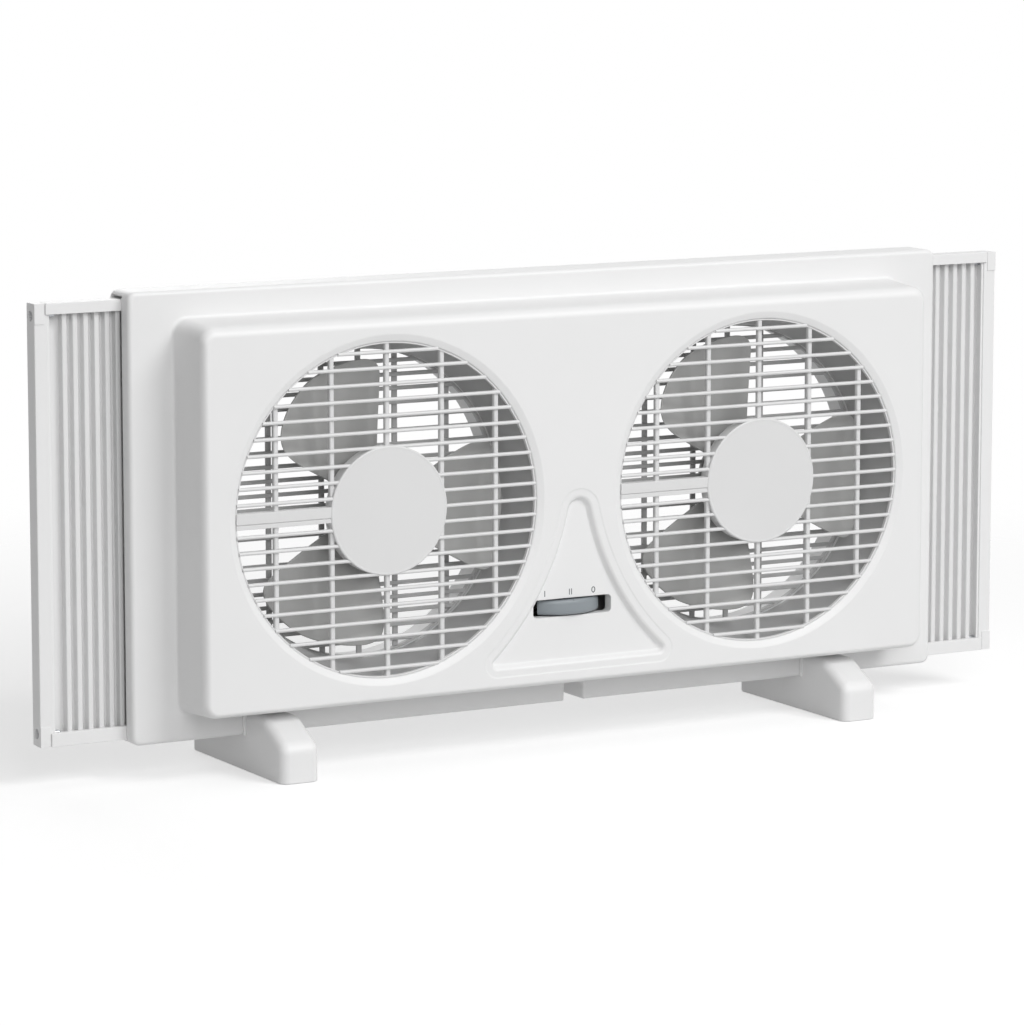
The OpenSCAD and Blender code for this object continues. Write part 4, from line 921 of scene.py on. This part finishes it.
RAIL_END, GROOVE_FRONT, GROOVE_BACK, GROOVE_DEEP, CAP_SCREW_ZS = 244.0, 0.2, 5.8, 2.9, (31.7, 275.4)
RAILS = {"top_rail": (EXT_TOP - 6.5, EXT_TOP, False), "bottom_rail": (EXT_LOW, EXT_LOW + 8.0, True)}
for side, sign in SIDES.items():
    body, cap = f"extender_{side}", bmesh.new()
    side_box(cap, sign, CAP_IN, CAP_OUT, (EXT_FRONT, EXT_LOW), (EXT_BACK, EXT_TOP), 0.7)
    for z in (EXT_LOW, EXT_TOP - 12):
        side_box(cap, sign, CAP_IN + 2.4, CAP_OUT, (EXT_FRONT - 0.6, z), (3.0, z + 12), 0.25)
    lip = (EXT_FRONT + 0.9, EXT_LOW + 8.0), (EXT_FRONT + 2.4, EXT_TOP - 6.6)
    side_box(cap, sign, CAP_IN - 1.3, CAP_IN + 1, *lip, 0.4)
    screw_holes = [((sign * 332.2, 3.0, z), (1, 0, 0), 3.2, 4.4) for z in CAP_SCREW_ZS]
    finish(f"cap_{side}", cap, "white_abs", [f"end_cap_{side}"], body, drilled=screw_holes)
    for name, place in RAILS.items():
        finish(f"{name}_bar_{side}", rail_mesh(sign, *place), "white_abs", [f"{name}_{side}"], body)


# %% Section of a rib
def rounded_line(points, steps=5):
    """An open line of (u, y, radius) points with its inner corners rounded."""
    made = [points[0][:2]]
    for before, here, after in zip(points, points[1:], points[2:]):
        p = Vector(here[:2])
        back, on = Vector(before[:2]) - p, Vector(after[:2]) - p
        reach = min(here[2], back.length / 2, on.length / 2)
        ends = p + back.normalized() * reach, p + on.normalized() * reach
        for t in (k / steps for k in range(steps + 1)):
            made.append(tuple(ends[0] * (1 - t) ** 2 + p * 2 * t * (1 - t) + ends[1] * t**2))
    return made + [points[-1][:2]]


# The front and the back line of one rib: place along the pitch, depth either way and radius.
PITCH, WAVE = 6.75, 2.7
rib_front = [
    (-0.5, WAVE - 0.8, 0.0), (-0.38, WAVE - 0.8, 0.5), (-0.06, -WAVE, 0.6),
    (0.38, -WAVE, 0.8), (0.44, WAVE - 0.8, 0.4), (0.5, WAVE - 0.8, 0.0),
]
rib_back = [
    (0.5, WAVE, 0.0), (0.30, WAVE, 0.4), (0.28, 1.0 - WAVE, 0.4),
    (0.0, 1.0 - WAVE, 0.4), (-0.27, WAVE, 0.4), (-0.5, WAVE, 0.0),
]
rib_line = [p for line in (rib_front, rib_back) for p in rounded_line([(u * PITCH, y, r) for u, y, r in line])]
rib_bar = section_bar("rib", [(y, -u) for u, y in rib_line])
print("points in a rib's section:", len(rib_line))

# %% Ribbed sheets
# The count of ribs and where the outermost one ends, as the photograph shows them.
RIBS, RIB_REACH = {"left": (7, 316.4), "right": (8, 323.1)}, 123.0
for side, sign in SIDES.items():
    count, outer = RIBS[side]
    place = (sign * (outer - count * PITCH / 2), 3.0, (EXT_LOW + EXT_TOP + 1.5) / 2)
    ways = {"upright": True, "in_circle": False, "both_fans": False}
    ribs = row_of(rib_bar, "white_sheet", count, PITCH, RIB_REACH, place, **ways)
    edge_strip = (2.2 + WAVE, EXT_LOW + 2.0), (3.0 + WAVE, EXT_TOP - 2.0)
    side_box(ribs, sign, outer - 0.1, 327.7, *edge_strip, 0.1)
    finish(f"ribbed_sheet_{side}", ribs, "white_sheet", [f"extender_sheet_{side}"], f"extender_{side}", angle=50)

# %% [markdown]
# ## Screws
# All the screws that show are zinc-plated pan heads with a cross recess. One head is modelled and
# a node tree sets it on points, each turned about its own axis by a random angle with a fixed
# seed, since no two screws stop at the same angle.

# %% Screw
SCREW = [
    (1e-4, 0.75), (0.9, 0.72), (1.8, 0.6), (2.5, 0.35), (2.9, 0), (3, -0.5), (3, -1.1), (2.8, -1.25),
    (1.3, -1.25), (1.25, -11), (0.4, -12.5), (1e-4, -12.6),
]
screw = bmesh.new()
rings = [[screw.verts.new(Vector((*(p * r), z)) * MM) for p, n in circle(1.0, count=32)] for r, z in SCREW]
strip(screw, rings)
screw_shape = plain("screw", screw)
cross = bmesh.new()
for w, h in ((1.7, 0.4), (0.4, 1.7)):
    prism(cross, rectangle((-w, -h), (w, h)), -0.9, 2.0, 0, axis="Z")
cut_away(screw_shape, plain("cross", cross))

# %% Tree that sets the screws
set_tree, take, result = new_tree(
    "set of screws",
    {"Geometry": "Geometry", "Screw": "Object", "Turn": "Vector", "Seed": "Int", "Finish": "Material"},
)
draw = {3: math.pi, "Seed": take["Seed"]}
angle = add(set_tree, "FunctionNodeRandomValue", draw, data_type="FLOAT").outputs[1]
angles = add(set_tree, "ShaderNodeCombineXYZ", {"Z": angle}).outputs[0]
own = add(set_tree, "FunctionNodeEulerToRotation", {0: angles}).outputs[0]
lean = add(set_tree, "FunctionNodeEulerToRotation", {0: take["Turn"]}).outputs[0]
turns = {"Rotation": lean, "Rotate By": own}
both = add(set_tree, "FunctionNodeRotateRotation", turns, rotation_space="LOCAL").outputs[0]
end_tree(set_tree, set_on(set_tree, take["Geometry"], take["Screw"], Rotation=both), take["Finish"], result)

# %% Set the screws
QUARTER = math.pi / 2
back_points = [(x, 14.3, FAN_Z + z) for x in (-171.75, 0, 171.75) for z in (-119, 119)]
foot_points = [(x, y, 13.25) for x in (-FOOT_X, FOOT_X) for y in (-6, 6)]
SCREWS = [
    ("back", "housing", "back_screws", (-QUARTER, 0, 0), back_points),
    ("foot", "housing", "foot_screws", (2 * QUARTER, 0, 0), foot_points),
]
for side, sign in SIDES.items():
    points = [(sign * 331.25, 3.0, z) for z in CAP_SCREW_ZS]
    SCREWS.append((side, f"extender_{side}", f"extender_screws_{side}", (0, sign * QUARTER, 0), points))
for name, body, node, turn, points in SCREWS:
    dots = bmesh.new()
    for p in points:
        dots.verts.new(Vector(p) * MM)
    values = {"Screw": screw_shape, "Turn": Vector(turn), "Seed": 7, "Finish": FINISH["screw_steel"]}
    finish(f"{name}_screw_set", grown(set_tree, values, plain("dots", dots)), "screw_steel", [node], body)
for helper in (bar, stay, rear_bar, rear_stay, one_blade, rib_bar, screw_shape):
    bpy.data.objects.remove(helper)

# %% [markdown]
# ## Cord bushing
# A soft bushing lines the cord's hole in the back. The photograph shows no cord, so none is made.

# %% Cord bushing
BUSHING = [
    (3.6, 8.7), (3.8, 8.5), (6.8, 8.5), (7, 8.7), (7, 13.05), (9.2, 13.1), (9.2, 14.4), (8.9, 15.2),
    (8, 15.5), (4.4, 15.5), (3.8, 15.2), (3.6, 14.6),
]
bushing = bmesh.new()
lathe(bushing, BUSHING, -40.0, 50.5, 64)
finish("cord_bush", bushing, "bushing_white", ["cord_bushing"])

# %% [markdown]
# ## Finishes of the CAD nodes that stay
# The motors and the switch keep their CAD shape, which is right, and get the finish of the
# material that each is made of.

# %% Finishes of the CAD nodes
for part in frame["record"]["subparts"]:
    node = frame["nodes"][part["node"]]
    if not node.material_slots:
        node.data.materials.append(FINISH[part["material_slot"]])
    for socket in node.material_slots:
        socket.material = FINISH[part["material_slot"]]
print("CAD nodes shown:", sorted(n for n, o in frame["nodes"].items() if not o.hide_render))

# %% [markdown]
# ## Studio
# The photograph is a cut-out on white. A pale floor lies under the fan and fades into the white
# round about. A large soft light stands to the front right and above, a weaker one fills from
# the left, a faint one hangs overhead, and one behind keeps the back from going black.
# The white itself is only for rays that show the background, so that it lights nothing.


# %% Which rays show the background
def showing(tree):
    """1 for the rays that see the background itself: directly, in a gloss or through glass."""
    rays = add(tree, "ShaderNodeLightPath").outputs
    shown = rays["Is Camera Ray"]
    for kind in ("Is Glossy Ray", "Is Transmission Ray"):
        shown = add(tree, "ShaderNodeMath", {0: shown, 1: rays[kind]}, operation="MAXIMUM").outputs[0]
    return shown


# %% Floor
FADE_FROM, FADE_TO, FLOOR_R, FLOOR_LIFT = 0.45, 1.1, 1.2, 0.42
floor_material, tree, output = start("studio floor")
place = add(tree, "ShaderNodeTexCoord").outputs["Object"]
far = add(tree, "ShaderNodeVectorMath", {0: place}, operation="LENGTH").outputs["Value"]
span = {"Value": far, "From Min": FADE_FROM, "From Max": FADE_TO}
fade = add(tree, "ShaderNodeMapRange", span, interpolation_type="SMOOTHSTEP").outputs["Result"]
matt = add(tree, "ShaderNodeBsdfDiffuse", {"Color": linear("#DCDCDC")}).outputs[0]
clear = add(tree, "ShaderNodeBsdfTransparent").outputs[0]
blend = add(tree, "ShaderNodeMixShader", {0: fade, 1: matt, 2: clear}).outputs[0]
strength = add(tree, "ShaderNodeMath", {0: 1.0, 1: fade}, operation="SUBTRACT").outputs[0]
for share in (showing(tree), FLOOR_LIFT):
    strength = add(tree, "ShaderNodeMath", {0: strength, 1: share}, operation="MULTIPLY").outputs[0]
lifted = add(tree, "ShaderNodeEmission", {"Color": (1, 1, 1, 1), "Strength": strength}).outputs[0]
whole_floor = add(tree, "ShaderNodeAddShader", {0: blend, 1: lifted}).outputs[0]
tree.links.new(whole_floor, output.inputs["Surface"])
ground = bmesh.new()
bmesh.ops.create_circle(ground, cap_ends=True, segments=96, radius=FLOOR_R)
floor = plain("floor", ground)
floor.data.materials.append(floor_material)

# %% World
WHITE, AMBIENT = (1, 1, 1, 1), 0.28
world = bpy.data.worlds.new("white")
bpy.context.scene.world = world
world.use_nodes = True
tree = world.node_tree
tree.nodes.clear()
dim = add(tree, "ShaderNodeBackground", {"Color": WHITE, "Strength": AMBIENT}).outputs[0]
seen = add(tree, "ShaderNodeBackground", {"Color": WHITE, "Strength": 1.0}).outputs[0]
mixed = add(tree, "ShaderNodeMixShader", {0: showing(tree), 1: dim, 2: seen}).outputs[0]
add(tree, "ShaderNodeOutputWorld", {"Surface": mixed})


# %% Lights
def aimed(obj, at, aim):
    """Puts a light or camera at one point and turns it towards another."""
    obj.location = at
    obj.rotation_euler = (Vector(aim) - Vector(at)).to_track_quat("-Z", "Y").to_euler()


def lamp(name, at, aim, size, watts):
    """A square soft light at one point, aimed at another, in metres."""
    light = bpy.data.lights.new(name, "AREA")
    light.shape, light.size, light.energy = "SQUARE", size, watts
    aimed(linked(name, light), at, aim)


lamp("key", (0.85, -1.9, 1.8), (0.0, 0.0, 0.15), 1.3, 34.5)
lamp("fill", (-0.7, -2.5, 1.2), (0.0, 0.0, 0.15), 1.2, 19.5)
lamp("top", (0.0, 0.1, 2.2), (0.0, 0.0, 0.1), 1.6, 5.5)
lamp("back", (0.5, 2.6, 1.5), (0.0, 0.0, 0.15), 1.4, 12)

# %% [markdown]
# ## Camera
# The photograph was taken with a long lens from the left of the fan and a little above it.
# The camera was found by fitting the CAD model's corners to the photograph.

# %% Camera
FOCAL_PX, PICTURE_W, SENSOR_MM = 4600, 1024, 36.0
lens = bpy.data.cameras.new("camera")
lens.sensor_fit, lens.sensor_width, lens.lens = "HORIZONTAL", SENSOR_MM, FOCAL_PX / PICTURE_W * SENSOR_MM
camera = linked("camera", lens)
aimed(camera, Vector((-1372.0, -2419.5, 554.0)) * MM, Vector((-26.9, -13.0, 141.4)) * MM)
bpy.context.scene.camera = camera
bpy.context.scene.view_settings.view_transform = "Standard"
